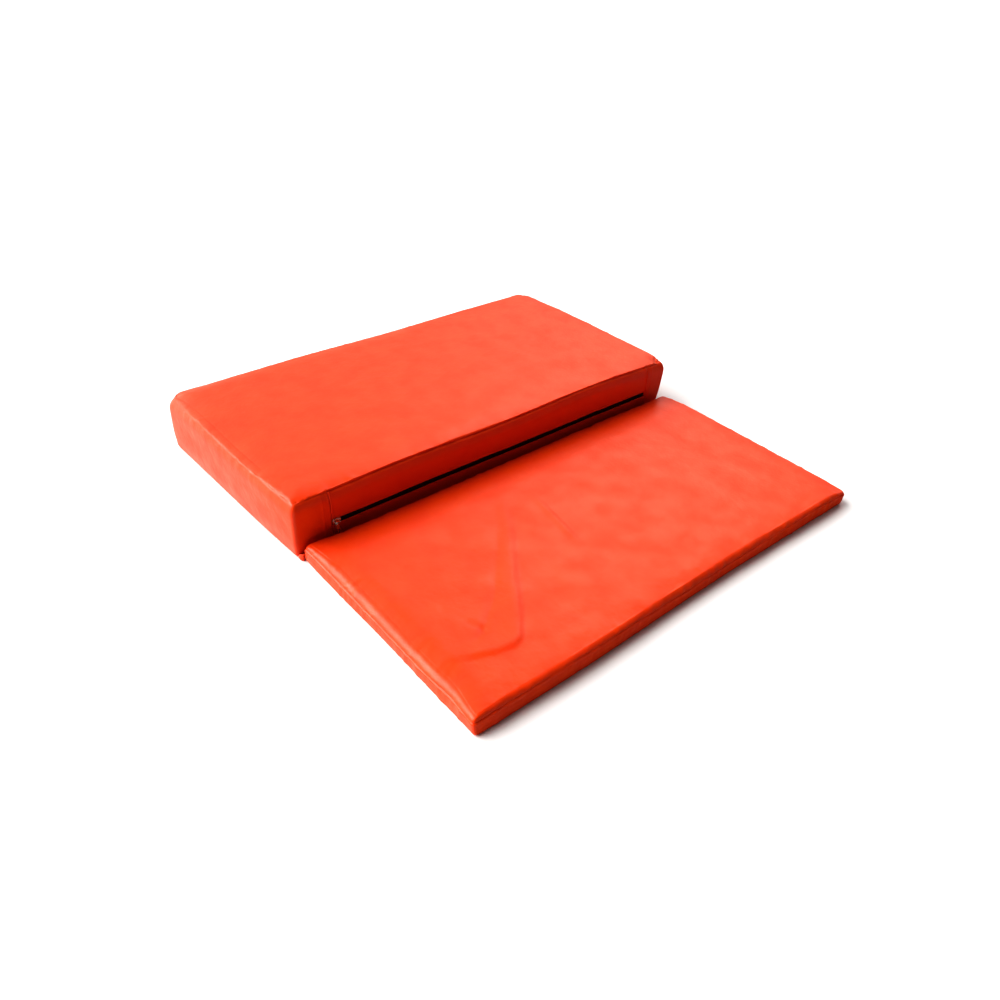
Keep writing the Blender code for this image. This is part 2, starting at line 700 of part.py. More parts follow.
def make_pull(collection, cutters):
    """The pull: a wire eye about the bail and a slotted tab that hangs from it."""
    x, y, z = slider_place()
    bail_y = y - SLIDER_THICKNESS - BAIL_REACH
    eye_z = z - (EYE_RADIUS - EYE_WIRE - BAIL_RADIUS - CLEARANCE)
    mesh = bmesh.new()
    half = PULL_THICKNESS / 2
    bmesh.ops.create_cube(mesh, size=1.0)
    for vertex in mesh.verts:
        width = PULL_FOOT_WIDTH if vertex.co.z < 0 else PULL_TOP_WIDTH
        vertex.co.x *= width
        vertex.co.y *= 2 * half
        vertex.co.z = -EYE_RADIUS + (vertex.co.z - 0.5) * PULL_LENGTH
    upright = [e for e in mesh.edges if abs(e.verts[0].co.y - e.verts[1].co.y) > half]
    bmesh.ops.bevel(
        mesh, geom=upright, offset=1.2, offset_type="OFFSET", segments=3, profile=0.5, affect="EDGES"
    )
    lean = math.radians(PULL_LEAN_DEG)
    for vertex in mesh.verts:
        px, pz = vertex.co.x, vertex.co.z
        vertex.co.x = x + px * math.cos(lean) - pz * math.sin(lean)
        vertex.co.y += bail_y
        vertex.co.z = eye_z + px * math.sin(lean) + pz * math.cos(lean)
    piece = add_piece(
        "zip_pull", mesh, collection, finish_material("pull_metal", METAL_GREY, 0.3, 1.0)
    )
    ring = []
    for k in range(16):
        angle = 2 * math.pi * k / 16
        ring.append((x, bail_y + EYE_RADIUS * math.cos(angle), eye_z + EYE_RADIUS * math.sin(angle)))
    eye = wire_mesh("eye", ring, EYE_WIRE, cyclic=True)
    bmesh.ops.scale(eye, vec=(MM, MM, MM), verts=eye.verts)
    join(piece, add_cutter("eye", eye, cutters))

    slot = bmesh.new()
    bmesh.ops.create_cube(slot, size=1.0)
    slot_z = -EYE_RADIUS - PULL_LENGTH * 0.62
    for vertex in slot.verts:
        px = vertex.co.x * PULL_SLOT_WIDTH
        pz = slot_z + vertex.co.z * PULL_SLOT_LENGTH
        vertex.co = (
            x + px * math.cos(lean) - pz * math.sin(lean),
            bail_y + vertex.co.y * 4 * half,
            eye_z + px * math.sin(lean) + pz * math.cos(lean),
        )
    bmesh.ops.scale(slot, vec=(MM, MM, MM), verts=slot.verts)
    cut = piece.modifiers.new("Slot", "BOOLEAN")
    cut.operation = "DIFFERENCE"
    cut.object = add_cutter("slot", slot, cutters)
    return piece


def main():
    for old in list(bpy.data.objects):
        bpy.data.objects.remove(old)
    collection = bpy.data.collections.new("foldable_seat_cushion")
    cutters = bpy.data.collections.new("cutters")
    bpy.context.scene.collection.children.link(collection)
    bpy.context.scene.collection.children.link(cutters)

    make_seat(collection)
    make_pad(collection)
    make_hinge(collection)
    half_opening = ZIP_OPENING / 2
    make_strip(
        "zip_strip_lower",
        lambda x: panel_edge(x, "foot of the strips, inside", CLEARANCE),
        lambda x: zip_height(x) - half_opening,
        collection,
    )
    make_strip(
        "zip_strip_upper",
        lambda x: zip_height(x) + half_opening,
        lambda x: panel_edge(x, "head of the strips, inside", -CLEARANCE),
        collection,
    )
    make_tape(collection)
    make_slider(collection, cutters)
    make_pull(collection, cutters)


main()
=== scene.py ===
import math

import bpy
import numpy as np
from mathutils import Matrix, Vector


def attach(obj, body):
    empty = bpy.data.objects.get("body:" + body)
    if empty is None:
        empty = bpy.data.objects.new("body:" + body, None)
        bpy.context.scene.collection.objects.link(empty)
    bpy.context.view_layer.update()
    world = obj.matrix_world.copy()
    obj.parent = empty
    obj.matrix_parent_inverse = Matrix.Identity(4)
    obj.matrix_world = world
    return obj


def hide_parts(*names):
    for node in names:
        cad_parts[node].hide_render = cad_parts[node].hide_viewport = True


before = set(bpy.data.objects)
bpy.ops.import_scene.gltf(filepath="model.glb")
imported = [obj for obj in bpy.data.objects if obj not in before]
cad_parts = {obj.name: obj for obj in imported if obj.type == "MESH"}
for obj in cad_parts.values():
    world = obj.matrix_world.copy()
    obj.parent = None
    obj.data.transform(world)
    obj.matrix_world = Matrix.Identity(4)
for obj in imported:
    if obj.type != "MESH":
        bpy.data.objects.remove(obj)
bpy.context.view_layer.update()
# Plain display colours with the strong contrast of a product picture.
bpy.context.scene.view_settings.view_transform = "Standard"
bpy.context.scene.view_settings.look = "High Contrast"

# The seat's cover: a foam block of 80 mm in a sewn cover of smooth leatherette, a woven
# backing with a coloured polyurethane skin. Its top, its sides and its base are panels
# joined by plain seams, which draw the skin in and gather it in small puckers.
MM = 0.001
# How far inwards a side's stray fades out, and how wide a zone its roll takes up, in mm.
SIDE_FADE = 70.0
ROLL_ZONE = 24.0

# All lengths are in mm. Each row of a side: share of the way along it, outward at the floor
# and at the upper seam, and how far that seam is lifted.
SEAT = {
    "centre": (-4.5, 155.1),
    "half": (301.0, 150.4),
    # Radii of the upright corners: front left and right, back left and right.
    "corners": (4.0, 3.5, 15.0, 20.0),
    "skew": -6.5,
    "lower_seam": 3.2,
    "upper_seam": 72.2,
    "rise_height": 72.2,
    # The top panel's height and crown, and for each side the height at which the roll up
    # from the seam ends and how far it reaches inwards.
    "plane": 79.2,
    "crown": 1.6,
    "edges": {"left": (73.7, 9.6), "right": (77.6, 4.0), "front": (74.3, 1.5), "back": (79.0, 4.0)},
    # Shares of the seam's lift and of the roll's reach that the top and the corners keep.
    "edge_share": 1.0,
    "corner_reach": 0.5,
    # How boxy the roll's section is at the left, and elsewhere: 2 is round.
    "roll_power": (2.0, 3.0),
    # How far inwards the top takes to rise from the roll.
    "shoulder": 22.0,
    # Puckers at the seams: spacing, height and reach.
    "gathers": (10.0, 1.0, 8.0),
    # Corners of the top that are pulled down: which one, depth, reach and crumple.
    "sags": [((1, -1), 3.4, 15.0, 0.35), ((-1, -1), 0.8, 7.0, 0.2)],
    "sides": {
        "left": [
            (0, -0.4, 0.9, 2.4), (0.1, 0.4, 3.7, 3.4), (0.2, 1.2, 5.3, 4),
            (0.43, 2, 6, 3), (0.7, 2.4, 5.2, 4.5), (0.9, 2.8, 4, 2), (1, 3.4, 2.8, -1.5),
        ],
        "right": [
            (0, 0, 5.2, 0), (0.1, 1, 4.8, 1.2), (0.25, 1, 4.6, 2.4),
            (0.6, 0.8, 4.4, 2.4), (1, -0.5, 1.6, -1.8),
        ],
        "front": [
            (0, -0.5, 0, 0), (0.1, 0.2, -0.3, 1.8), (0.2, 0.5, -0.5, 3.7),
            (0.33, 0.5, -1, 3.2), (0.46, 0.5, -0.5, 2.2), (0.6, 0.5, 0, 3.8), (0.75, 0.5, -1, 6),
            (0.91, 0, -0.5, 3), (1, -0.5, -0.5, 1),
        ],
        "back": [
            (0, 0.5, -0.5, -4.2), (0.15, 0.5, -0.8, -2.6), (0.3, 0.5, -1, -1.4),
            (0.55, 0.5, -2, -2.2), (0.8, 0.5, -1.2, -1), (1, -0.5, -0.5, -1.8),
        ],
    },
    # Rows of the wall without its seams: height, how far it lies inside the straight
    # wall, and its share of the upper seam's lift.
    "wall": [
        (0, 6, 0), (0.35, 4, 0), (1.2, 2.4, 0), (2.2, 1.5, 0), (3.2, 1, 0),
        (4.6, 0.6, 0), (7, 0.4, 0), (14, -0.2, 0.05), (20, -0.8, 0.1),
        (28, -1.2, 0.2), (38, -1.4, 0.3), (48, -1.45, 0.45), (56, -1.5, 0.6),
        (60, -1.5, 0.72), (62, -1.4, 0.775), (64, -1.05, 0.83), (66, -0.5, 0.89),
        (68, 0.35, 0.93), (70, 1.5, 0.97), (71.4, 2.5, 1), (72.2, 3.1, 1),
    ],
}


def ease(t):
    """A smooth step from 0 to 1."""
    t = np.clip(t, 0.0, 1.0)
    return t * t * (3 - 2 * t)


def side_value(rows, column, along):
    """One column of a side's rows, on a smooth curve through them."""
    places = np.array([row[0] for row in rows])
    values = np.array([row[column] for row in rows])
    slopes = np.gradient(values, places)
    along = np.clip(along, 0.0, 1.0)
    k = np.clip(np.searchsorted(places, along) - 1, 0, len(places) - 2)
    span = places[k + 1] - places[k]
    t = (along - places[k]) / span
    return (
        values[k] * (1 + 2 * t) * (1 - t) ** 2 + values[k + 1] * t * t * (3 - 2 * t)
        + slopes[k] * span * t * (1 - t) ** 2 - slopes[k + 1] * span * t * t * (1 - t)
    )


def wall_value(block, column, height):
    """One column of the wall's rows at a height."""
    rows = np.array(block["wall"])
    return np.interp(height, rows[:, 0], rows[:, column])


def corner_radius(block, x, y):
    """Radius of the block's nearest upright corner."""
    front_left, front_right, back_left, back_right = block["corners"]
    rightwards = ease((x + 60.0) / 120.0)
    front = front_left + (front_right - front_left) * rightwards
    back = back_left + (back_right - back_left) * rightwards
    return front + (back - front) * ease((y + 60.0) / 120.0)


def side_gaps(block, x, y):
    """For each side: the share along it, the distance along it, and the distance from it."""
    half_x, half_y = block["half"]
    along_x, along_y = x + half_x, y + half_y
    return {
        "left": (along_y / (2 * half_y), along_y, x + half_x),
        "right": (along_y / (2 * half_y), along_y, half_x - x),
        "front": (along_x / (2 * half_x), along_x, y + half_y),
        "back": (along_x / (2 * half_x), along_x, half_y - y),
    }


def roll_shares(t, power):
    """How far in and how far up a point of the roll above the seam is, as shares."""
    start, end = math.radians(25), math.radians(82)
    angle = start + (end - start) * t
    inner, outer = np.cos(angle) ** (2 / power), math.cos(start) ** (2 / power)
    last = math.cos(end) ** (2 / power)
    upper, lower = np.sin(angle) ** (2 / power), math.sin(start) ** (2 / power)
    return (outer - inner) / (outer - last), (upper - lower) / (math.sin(end) ** (2 / power) - lower)


def roll_reach(block, side, along):
    """How far inwards a side's roll reaches, less at its corners."""
    length = 2 * block["half"][0 if side in ("front", "back") else 1]
    share = block["corner_reach"]
    towards_middle = ease(np.minimum(along, length - along) / 60.0)
    return block["edges"][side][1] * (share + (1 - share) * towards_middle)


def from_roll(gap, inset):
    """Distance from a roll's end, where the panel is drawn in by an inset at its rim."""
    return np.where(gap < ROLL_ZONE, gap * (ROLL_ZONE - inset) / ROLL_ZONE, gap - inset)


def top_height(block, x, y):
    """Height of the top panel, which sinks towards the end of each side's roll."""
    half_x, half_y = block["half"]
    total = 0.0
    for side, (share, along, gap) in side_gaps(block, x, y).items():
        inset = block["wall"][-1][1] + roll_reach(block, side, along)
        drawn = from_roll(gap, inset)
        lift = block["edge_share"] * side_value(block["sides"][side], 3, share)
        drop = np.maximum(block["plane"] - block["edges"][side][0] - lift, 0.05)
        total = total + (drop * (1 - np.clip(drawn / block["shoulder"], 0, 1)) ** 1.7) ** 3
    crown = (1 - (x / half_x) ** 2) * (1 - (y / half_y) ** 2)
    sag = 0.0
    for (side_x, side_y), depth, reach, crumpled in block["sags"]:
        gap_x, gap_y = side_x * half_x - x, side_y * half_y - y
        away = np.hypot(gap_x, gap_y)
        crumple = 1 + crumpled * np.sin(away * 0.9 + 2.0 * np.arctan2(gap_y, gap_x))
        sag = sag + depth * crumple * np.exp(-((away / reach) ** 2))
    return block["plane"] + block["crown"] * crown - total ** (1 / 3) - sag


def place_skin(block, x, y, height, t, extra=0.0, wander=0.0):
    """Places of a cushion's skin in mm. x and y are on the flat block. Height is the row of
    the wall up to the upper seam, and t runs from 0 at the seam to 1 at the roll's end.
    Extra draws the skin in, and wander raises the seam."""
    half_x, half_y = block["half"]
    gaps = side_gaps(block, x, y)
    at_left, elsewhere = block["roll_power"]
    leftness = 1 - ease(gaps["left"][2] / 40.0)
    inward, upward = roll_shares(t, elsewhere + (at_left - elsewhere) * leftness)
    base = wall_value(block, 1, height) + extra
    radius = corner_radius(block, x, y)
    moved, beyond = [], []
    for value, half, low, high in ((x, half_x, "left", "right"), (y, half_y, "front", "back")):
        gap = half - np.abs(value)
        low_reach, high_reach = (roll_reach(block, side, gaps[side][1]) for side in (low, high))
        reach = np.where(value < 0, low_reach, high_reach)
        inset = base + reach * inward
        moved.append(value - np.sign(value) * inset * np.clip(1 - gap / ROLL_ZONE, 0, 1))
        beyond.append(np.sign(value) * np.maximum(radius - gap, 0) * (1 - inset / ROLL_ZONE))
    length = np.maximum(np.hypot(beyond[0], beyond[1]), 1e-9)
    round_off = 1 - np.maximum(np.abs(beyond[0]), np.abs(beyond[1])) / length
    out = {}
    lift = np.zeros_like(x)
    holds = np.zeros_like(x)
    rise = np.minimum(height / block["rise_height"], 1.0)
    for side, (share, _, gap) in gaps.items():
        # Each side pulls its own part of the skin along.
        rows = block["sides"][side]
        hold = 1 - ease(gap / SIDE_FADE)
        low = side_value(rows, 1, share)
        out[side] = hold * (low + (side_value(rows, 2, share) - low) * rise)
        lift = lift + hold * side_value(rows, 3, share)
        holds = holds + hold
    lift = lift / np.maximum(holds, 1.0) + wander
    px = block["centre"][0] + moved[0] - beyond[0] * round_off + out["right"] - out["left"]
    px = px + block["skew"] * (y + half_y) / (2 * half_y)
    py = block["centre"][1] + moved[1] - beyond[1] * round_off + out["back"] - out["front"]
    seam_z = block["upper_seam"] + lift
    rolled = seam_z + (top_height(block, x, y) - seam_z) * upward
    return px, py, np.where(t > 0, rolled, height + lift * wall_value(block, 2, height))


def soft_noise(places, wavelength, seed):
    """Smooth noise of about -1 to 1 along a line, the same each time for one seed."""
    values = np.random.default_rng(seed).uniform(-1, 1, int(np.max(places) / wavelength) + 4)
    at = places / wavelength
    k = np.floor(at).astype(int)
    return values[k] + (values[k + 1] - values[k]) * ease(at - k)


def puckers(along, away, length, seed, spacing, tall, reach):
    """Small ridges square to a seam, in mm, where its thread gathers the skin."""
    rng = np.random.default_rng(seed)
    total = np.zeros_like(along)
    near = away < reach * 3.5
    here, off = along[near], away[near]
    sum_near = np.zeros_like(here)
    place = spacing * 0.5
    while place < length:
        width = rng.uniform(1.8, 4.2)
        height = tall * rng.uniform(-0.7, 1.0)
        fade = reach * rng.uniform(0.45, 1.3)
        slant = rng.uniform(-0.45, 0.45)
        shape = np.exp(-((here - place - slant * off) / width) ** 2)
        sum_near += height * shape * np.exp(-((off / fade) ** 1.4))
        place += spacing * rng.uniform(0.4, 1.7)
    total[near] = sum_near
    return total * ease(along / 25.0) * ease((length - along) / 25.0)


def axis_places(half, spacing):
    """Places across a block: close together over its corners, then even."""
    edge = [half - gap for gap in (22.9, 19.9, 17.2, 14.4, 11.6, 9.0, 6.7, 4.7, 3.0, 1.4, 0.0)]
    inner = edge[0]
    count = round(2 * inner / spacing)
    middle = [-inner + 2 * inner * k / count for k in range(1, count)]
    return np.array([-e for e in reversed(edge)] + middle + edge)


def grid_quads(index, turned_over=False):
    """Faces of a grid of point numbers."""
    corners = [index[:-1, :-1], index[1:, :-1], index[1:, 1:], index[:-1, 1:]]
    quads = np.stack(corners, axis=-1).reshape(-1, 4)
    return quads[:, [0, 3, 2, 1]] if turned_over else quads


def skin_arrays(heights, rolls, xs, ys):
    """A cushion's closed skin as a grid: base panel, rows of wall, rows of roll and top
    panel. Gives each point's flat x and y, height, t and panel (0 base, 1 wall and roll, 2
    top), and the faces."""
    nx, ny = len(xs) - 1, len(ys) - 1
    grid_x, grid_y = np.meshgrid(xs, ys, indexing="ij")
    index = np.arange((nx + 1) * (ny + 1)).reshape(nx + 1, ny + 1)
    ring = np.concatenate([index[:-1, 0], index[-1, :-1], index[:0:-1, -1], index[0, :0:-1]])
    flat_x, flat_y = grid_x.ravel(), grid_y.ravel()
    count, around = flat_x.size, ring.size
    levels = [(h, 0.0) for h in heights] + [(heights[-1], t) for t in rolls]
    rows = len(levels) - 2
    sizes = [count] + [around] * rows + [count]
    x = np.concatenate([flat_x] + [flat_x[ring]] * rows + [flat_x])
    y = np.concatenate([flat_y] + [flat_y[ring]] * rows + [flat_y])
    height = np.repeat([level[0] for level in levels], sizes)
    t = np.repeat([level[1] for level in levels], sizes)
    panel = np.repeat([0.0] + [1.0] * rows + [2.0], sizes)
    top_start = count + around * rows
    quads = grid_quads(index)
    loops = [ring] + [count + around * r + np.arange(around) for r in range(rows)] + [top_start + ring]
    faces = [quads[:, ::-1], quads + top_start]
    for low, high in zip(loops, loops[1:]):
        faces.append(np.stack([low, np.roll(low, -1), np.roll(high, -1), high], axis=-1))
    return x, y, height, t, panel, np.concatenate(faces)


def add_object(name, data):
    """An object in the scene that shows a mesh, a curve, a light or a camera."""
    made = bpy.data.objects.new(name, data)
    bpy.context.scene.collection.objects.link(made)
    return made


def make_object(name, points, faces, material, attributes=()):
    """An object of points in mm and faces, shaded smooth, with its named point values."""
    mesh = bpy.data.meshes.new(name)
    places = np.asarray(points, float) * MM
    sizes = np.array([len(face) for face in faces])
    mesh.vertices.add(len(places))
    mesh.vertices.foreach_set("co", places.ravel())
    mesh.loops.add(int(sizes.sum()))
    mesh.loops.foreach_set("vertex_index", np.concatenate(faces).astype(np.int32))
    mesh.polygons.add(len(sizes))
    starts = np.concatenate([[0], np.cumsum(sizes)[:-1]])
    mesh.polygons.foreach_set("loop_start", starts.astype(np.int32))
    mesh.update(calc_edges=True)
    for key, values in dict(attributes).items():
        attribute = mesh.attributes.new(key, "FLOAT", "POINT")
        attribute.data.foreach_set("value", np.asarray(values, np.float32))
    mesh.shade_smooth()
    mesh.materials.append(material)
    return add_object(name, mesh)


def swell(made, amount):
    """Moves each point of an object along its normal, in mm."""
    mesh = made.data
    count = len(mesh.vertices)
    places = np.empty(count * 3)
    mesh.vertices.foreach_get("co", places)
    normals = np.empty(count * 3)
    mesh.vertex_normals.foreach_get("vector", normals)
    places = places + normals * np.repeat(amount, 3) * MM
    mesh.vertices.foreach_set("co", places)
    mesh.update()


def linear(hex_colour):
    """Linear red, green, blue and alpha of an sRGB hex colour."""
    channels = [int(hex_colour[i:i + 2], 16) / 255 for i in (0, 2, 4)]
    return [c / 12.92 if c <= 0.04045 else ((c + 0.055) / 1.055) ** 2.4 for c in channels] + [1.0]


def add_node(tree, kind, settings, sockets):
    """Adds a shader node. Settings are its own properties, and sockets are its inputs by
    name or number, each a value or another node's output."""
    made = tree.nodes.new("ShaderNode" + kind)
    for key, value in settings.items():
        setattr(made, key, value)
    for key, value in sockets.items():
        if isinstance(value, bpy.types.NodeSocket):
            tree.links.new(value, made.inputs[key])
        else:
            made.inputs[key].default_value = value
    return made


def start_material(name):
    """A material, its node tree, its Principled BSDF and places on the object in metres."""
    material = bpy.data.materials.new(name)
    material.use_nodes = True
    tree = material.node_tree
    places = add_node(tree, "TexCoord", {}, {}).outputs["Object"]
    return material, tree, tree.nodes["Principled BSDF"], places


SKIN_RED = "EA480C"
SKIN_DEEP_RED = "E84209"
# Painted shade: the deep red that the colour is darkened towards down in the seams.
PAINTED_SEAM_SHADE_RED = "7A1606"


def leatherette(name, seed):
    """Leatherette: a woven backing with a calendered polyurethane skin in one colour. It
    has a fine pebbled grain and a soft gloss, and shade is painted down in its seams."""
    material, tree, shader, places = start_material(name)
    moved = add_node(tree, "VectorMath", {"operation": "ADD"}, {0: places, 1: (seed, seed, seed)})
    place = moved.outputs[0]
    # Real grain cells are about 0.6 mm, and they are drawn at 1.2 mm so that they show.
    grain = add_node(tree, "TexVoronoi", {"feature": "SMOOTH_F1"}, {
        "Vector": place, "Scale": 1 / 0.0012, "Smoothness": 0.6,
    })
    pores = add_node(tree, "TexNoise", {}, {"Vector": place, "Scale": 1 / 0.0007, "Detail": 2.0})
    # Handling leaves slow waves of 8 to 25 mm in the skin.
    waves = add_node(tree, "TexNoise", {}, {
        "Vector": place, "Scale": 1 / 0.014, "Detail": 2.5, "Roughness": 0.55,
    })
    # Its colour and its gloss are uneven in patches of about 30 mm.
    blotch = add_node(tree, "TexNoise", {}, {
        "Vector": place, "Scale": 1 / 0.03, "Detail": 4.0, "Roughness": 0.55,
    })
    # Painted shade: each mesh's seam value darkens the colour down in its seams and grooves.
    seam = add_node(tree, "Attribute", {"attribute_name": "seam"}, {})
    patch = add_node(tree, "MapRange", {}, {
        "Value": blotch.outputs["Fac"], "From Min": 0.35, "From Max": 0.68,
    })
    colour = add_node(tree, "Mix", {"data_type": "RGBA"}, {
        0: patch.outputs[0], 6: linear(SKIN_RED), 7: linear(SKIN_DEEP_RED),
    })
    painted_seam_shade = add_node(tree, "MapRange", {}, {"Value": seam.outputs["Fac"], "To Max": 0.12})
    dark = add_node(tree, "Mix", {"data_type": "RGBA"}, {
        0: painted_seam_shade.outputs[0], 6: colour.outputs[2], 7: linear(PAINTED_SEAM_SHADE_RED),
    })
    rough = add_node(tree, "MapRange", {}, {
        "Value": blotch.outputs["Fac"],
        "From Min": 0.35, "From Max": 0.65, "To Min": 0.30, "To Max": 0.42,
    })
    slow = add_node(tree, "Bump", {}, {
        "Height": waves.outputs["Fac"], "Distance": 0.00065, "Strength": 0.9,
    })
    cells = add_node(tree, "Bump", {}, {
        "Height": grain.outputs["Distance"], "Distance": 0.00005, "Strength": 0.45,
        "Normal": slow.outputs[0],
    })
    fine = add_node(tree, "Bump", {}, {
        "Height": pores.outputs["Fac"], "Distance": 0.00003, "Strength": 0.4,
        "Normal": cells.outputs[0],
    })
    tree.links.new(dark.outputs[2], shader.inputs["Base Color"])
    tree.links.new(rough.outputs[0], shader.inputs["Roughness"])
    tree.links.new(fine.outputs[0], shader.inputs["Normal"])
    shader.inputs["IOR"].default_value = 1.5
    # Its grain and pores hold back part of the reflection.
    shader.inputs["Specular IOR Level"].default_value = 0.4
    return material


GROOVE_WIDTH = 0.5


def seam_groove(distance):
    """Share of a seam's full depth at a distance from it, in mm."""
    return np.exp(-((np.abs(distance) / GROOVE_WIDTH) ** 1.4))


def seam_lip(distance, place, width):
    """Share of a lip's full height, where a seam's turned edge stands out beside it."""
    return np.exp(-(((distance - place) / width) ** 2))


# The seat's front between two upright seams holds the zip, and the cover is let in there.
SEAM_LEFT, SEAM_LEFT_LEAN = -255.3, -4.0
SEAM_RIGHT, SEAM_RIGHT_LEAN = 267.5, -6.0
LEAN_HEIGHT, LEAN_REACH = 78.2, 34.0
# The let-in part ends below the upper seam's groove.
RECESS_DEPTH, RECESS_FOOT, RECESS_TOP = 2.1, 7.0, 72.1


def seam_lean(x, height):
    """How far the leaning upright seams carry a point of the seat's front along x."""
    shift = 0.0
    for seam, lean in ((SEAM_LEFT, SEAM_LEFT_LEAN), (SEAM_RIGHT, SEAM_RIGHT_LEAN)):
        near = 1 - ease(np.abs(x - seam) / LEAN_REACH)
        shift = shift - lean * (0.5 - height / LEAN_HEIGHT) * near
    return shift


def seam_wander(block, x, y, seed):
    """Unevenness of the upper seam's height around the cushion, in mm."""
    total = 0.0
    for k, (side, (_, along, gap)) in enumerate(side_gaps(block, x, y).items()):
        fade = (1 - ease(gap / 12.0)) * ease(along / 20.0)
        total = total + fade * 0.35 * soft_noise(along, 23.0, seed + k)
    return total


# Heights of the mesh's rows on the wall, then places of its rows on the roll.
SEAT_HEIGHTS = np.array([
    0, 0.35, 1.2, 2, 2.6, 3, 3.2, 3.4, 3.8, 4.4, 5.4, 7.2, 9.5, 13, 17, 22, 27, 32, 37, 42, 47, 52,
    56.5, 60.5, 63.5, 66, 68, 69.4, 70.3, 70.9, 71.3, 71.6, 71.85, 72.05, 72.2,
])
SEAT_ROLLS = np.array([0.05, 0.11, 0.18, 0.26, 0.35, 0.45, 0.55, 0.65, 0.75, 0.84, 0.92, 1.0])
# Columns beside the upright seams, closer together than elsewhere.
SEAM_STEPS = (
    -11, -9.8, -9.2, -8.6, -8, -7, -5, -3.4, -2.2,
    -1.5, -1, -0.6, -0.3, -0.1, 0.05, 0.2, 1.5,
)
SEAT_SPACING = 3.0
half_x, half_y = SEAT["half"]
seat_xs = axis_places(half_x, SEAT_SPACING)
for seam, inward in ((SEAM_LEFT, 1), (SEAM_RIGHT, -1)):
    from_seam = (seat_xs - seam) * inward
    seat_xs = seat_xs[(from_seam < -12.5) | (from_seam > 3.0)]
    seat_xs = np.sort(np.append(seat_xs, [seam + inward * step for step in SEAM_STEPS]))
seat_ys = axis_places(half_y, SEAT_SPACING)
x, y, height, t, panel, faces = skin_arrays(SEAT_HEIGHTS, SEAT_ROLLS, seat_xs, seat_ys)
SEAT_ROLL_LENGTH = 5.0
from_upper = height - SEAT["upper_seam"] + t * SEAT_ROLL_LENGTH
on_wall = panel == 1
on_front = on_wall & (y < -half_y + 1e-3)
# The upper seam lies deeper on the front than on the other sides.
grooves = np.where(on_front, 0.3, 0.1) * seam_groove(from_upper)
grooves = grooves + 0.8 * seam_groove(height - SEAT["lower_seam"])
lips = np.where(on_front, 0.4, 0.15) * seam_lip(from_upper, -1.9, 1.1)
extra = np.where(on_wall, grooves - lips, 0.0)
in_recess = on_front & (height > RECESS_FOOT) & (height < RECESS_TOP)
to_seam = np.minimum(x - SEAM_LEFT, SEAM_RIGHT - x)
upright_groove = 1.2 * np.exp(-((np.abs(to_seam) / 0.35) ** 1.5))
let_in = np.where(to_seam > 0.1, RECESS_DEPTH, upright_groove)
# The upright seams' turned edges stand out a little, and so does the allowance behind them.
let_in = let_in - 0.5 * seam_lip(to_seam, -1.0, 0.7) - 0.35 * seam_lip(to_seam, -9.2, 0.9)
extra = extra + np.where(in_recess, let_in, 0.0)
px, py, pz = place_skin(SEAT, x, y, height, t, extra, seam_wander(SEAT, x, y, 11))
px = px + np.where(on_front, seam_lean(x, pz), 0.0)
# Painted shade: the seam grooves and the let-in part around the zip are darkened through the seam
# value.
dark = np.where(on_wall, grooves, 0.0) + np.where(in_recess, 0.15 * let_in / RECESS_DEPTH, 0.0)
seat_skin = leatherette("seat_leatherette", 0.0)
seat_cover = make_object(
    "seat_cover", np.stack([px, py, pz], 1), faces, seat_skin, {"seam": np.clip(dark, 0, 1)},
)


FAR = 1e6


def seam_gathers(block, x, y, height, t, panel, seed):
    """Puckers on both sides of the upper seam, all around a cushion."""
    spacing, tall, reach = block["gathers"]
    total = np.zeros_like(x)
    rise = height - block["upper_seam"]
    for k, (side, (_, along, gap)) in enumerate(side_gaps(block, x, y).items()):
        length = 2 * block["half"][0 if side in ("front", "back") else 1]
        edge, inwards = block["edges"][side]
        roll = (edge - block["upper_seam"] + inwards) * 0.8
        at_side = (panel == 1) & (gap < 1e-6)
        above = np.where(at_side & (rise >= 0), t * roll, FAR)
        above = np.where(panel == 2, roll + from_roll(gap, inwards), above)
        below = np.where(at_side & (rise < 0), -rise, FAR)
        for away, first_seed, height_share in ((above, seed, 1.0), (below, seed + 10, 0.8)):
            ridges = puckers(along, away, length, first_seed + k, spacing, tall * height_share, reach)
            total += ridges * (1 - np.exp(-away))
    return total


def slack(px, py, seed, wavelength, tall):
    """Slow waves of a slack panel, in mm."""
    total = 0.0
    for k, turn in enumerate((0.3, 1.2, 2.2)):
        along = px * math.cos(turn) + py * math.sin(turn) + 800.0
        bent = along + 30 * soft_noise(py + 800.0, wavelength, seed + 5 + k)
        total = total + soft_noise(bent, wavelength, seed + k)
    return total * tall / 3


gathers = seam_gathers(SEAT, x, y, height, t, panel, 100)
swell(seat_cover, gathers + np.where(panel == 2, slack(px, py, 40, 42.0, 0.5), 0.0))
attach(seat_cover, "root")
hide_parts("seat_cushion")

# The two strips beside the zip: bands of the same leatherette whose edges along the zip
# are folded under and stitched down, and whose ends are caught in the upright seams.
ZIP_LINE = [
    (-255, 33), (-150, 33.9), (-60, 34.2), (40, 33.8), (154, 34), (268, 33.4),
]
ZIP_OPENING = 6.6
SLIDER_X = -250.0


def half_opening(x):
    """Half the distance between the strips' folded edges, which meet behind the slider."""
    return 0.2 + (ZIP_OPENING / 2 - 0.2) * ease((x - SLIDER_X + 4.6) / 5.0)


def zip_height(x):
    """Height of the zip's middle line."""
    places = np.array([row[0] for row in ZIP_LINE])
    shares = (places - places[0]) / (places[-1] - places[0])
    rows = [(share, row[1]) for share, row in zip(shares, ZIP_LINE)]
    return side_value(rows, 1, (x - places[0]) / (places[-1] - places[0]))


def front_lift(x):
    """Lift of the front's upper seam at a place along it."""
    return side_value(SEAT["sides"]["front"], 3, (x + half_x) / (2 * half_x))


def wall_height(x, base):
    """Height above the floor of one of the wall's rows on the seat's front."""
    return base + front_lift(x) * wall_value(SEAT, 2, base)


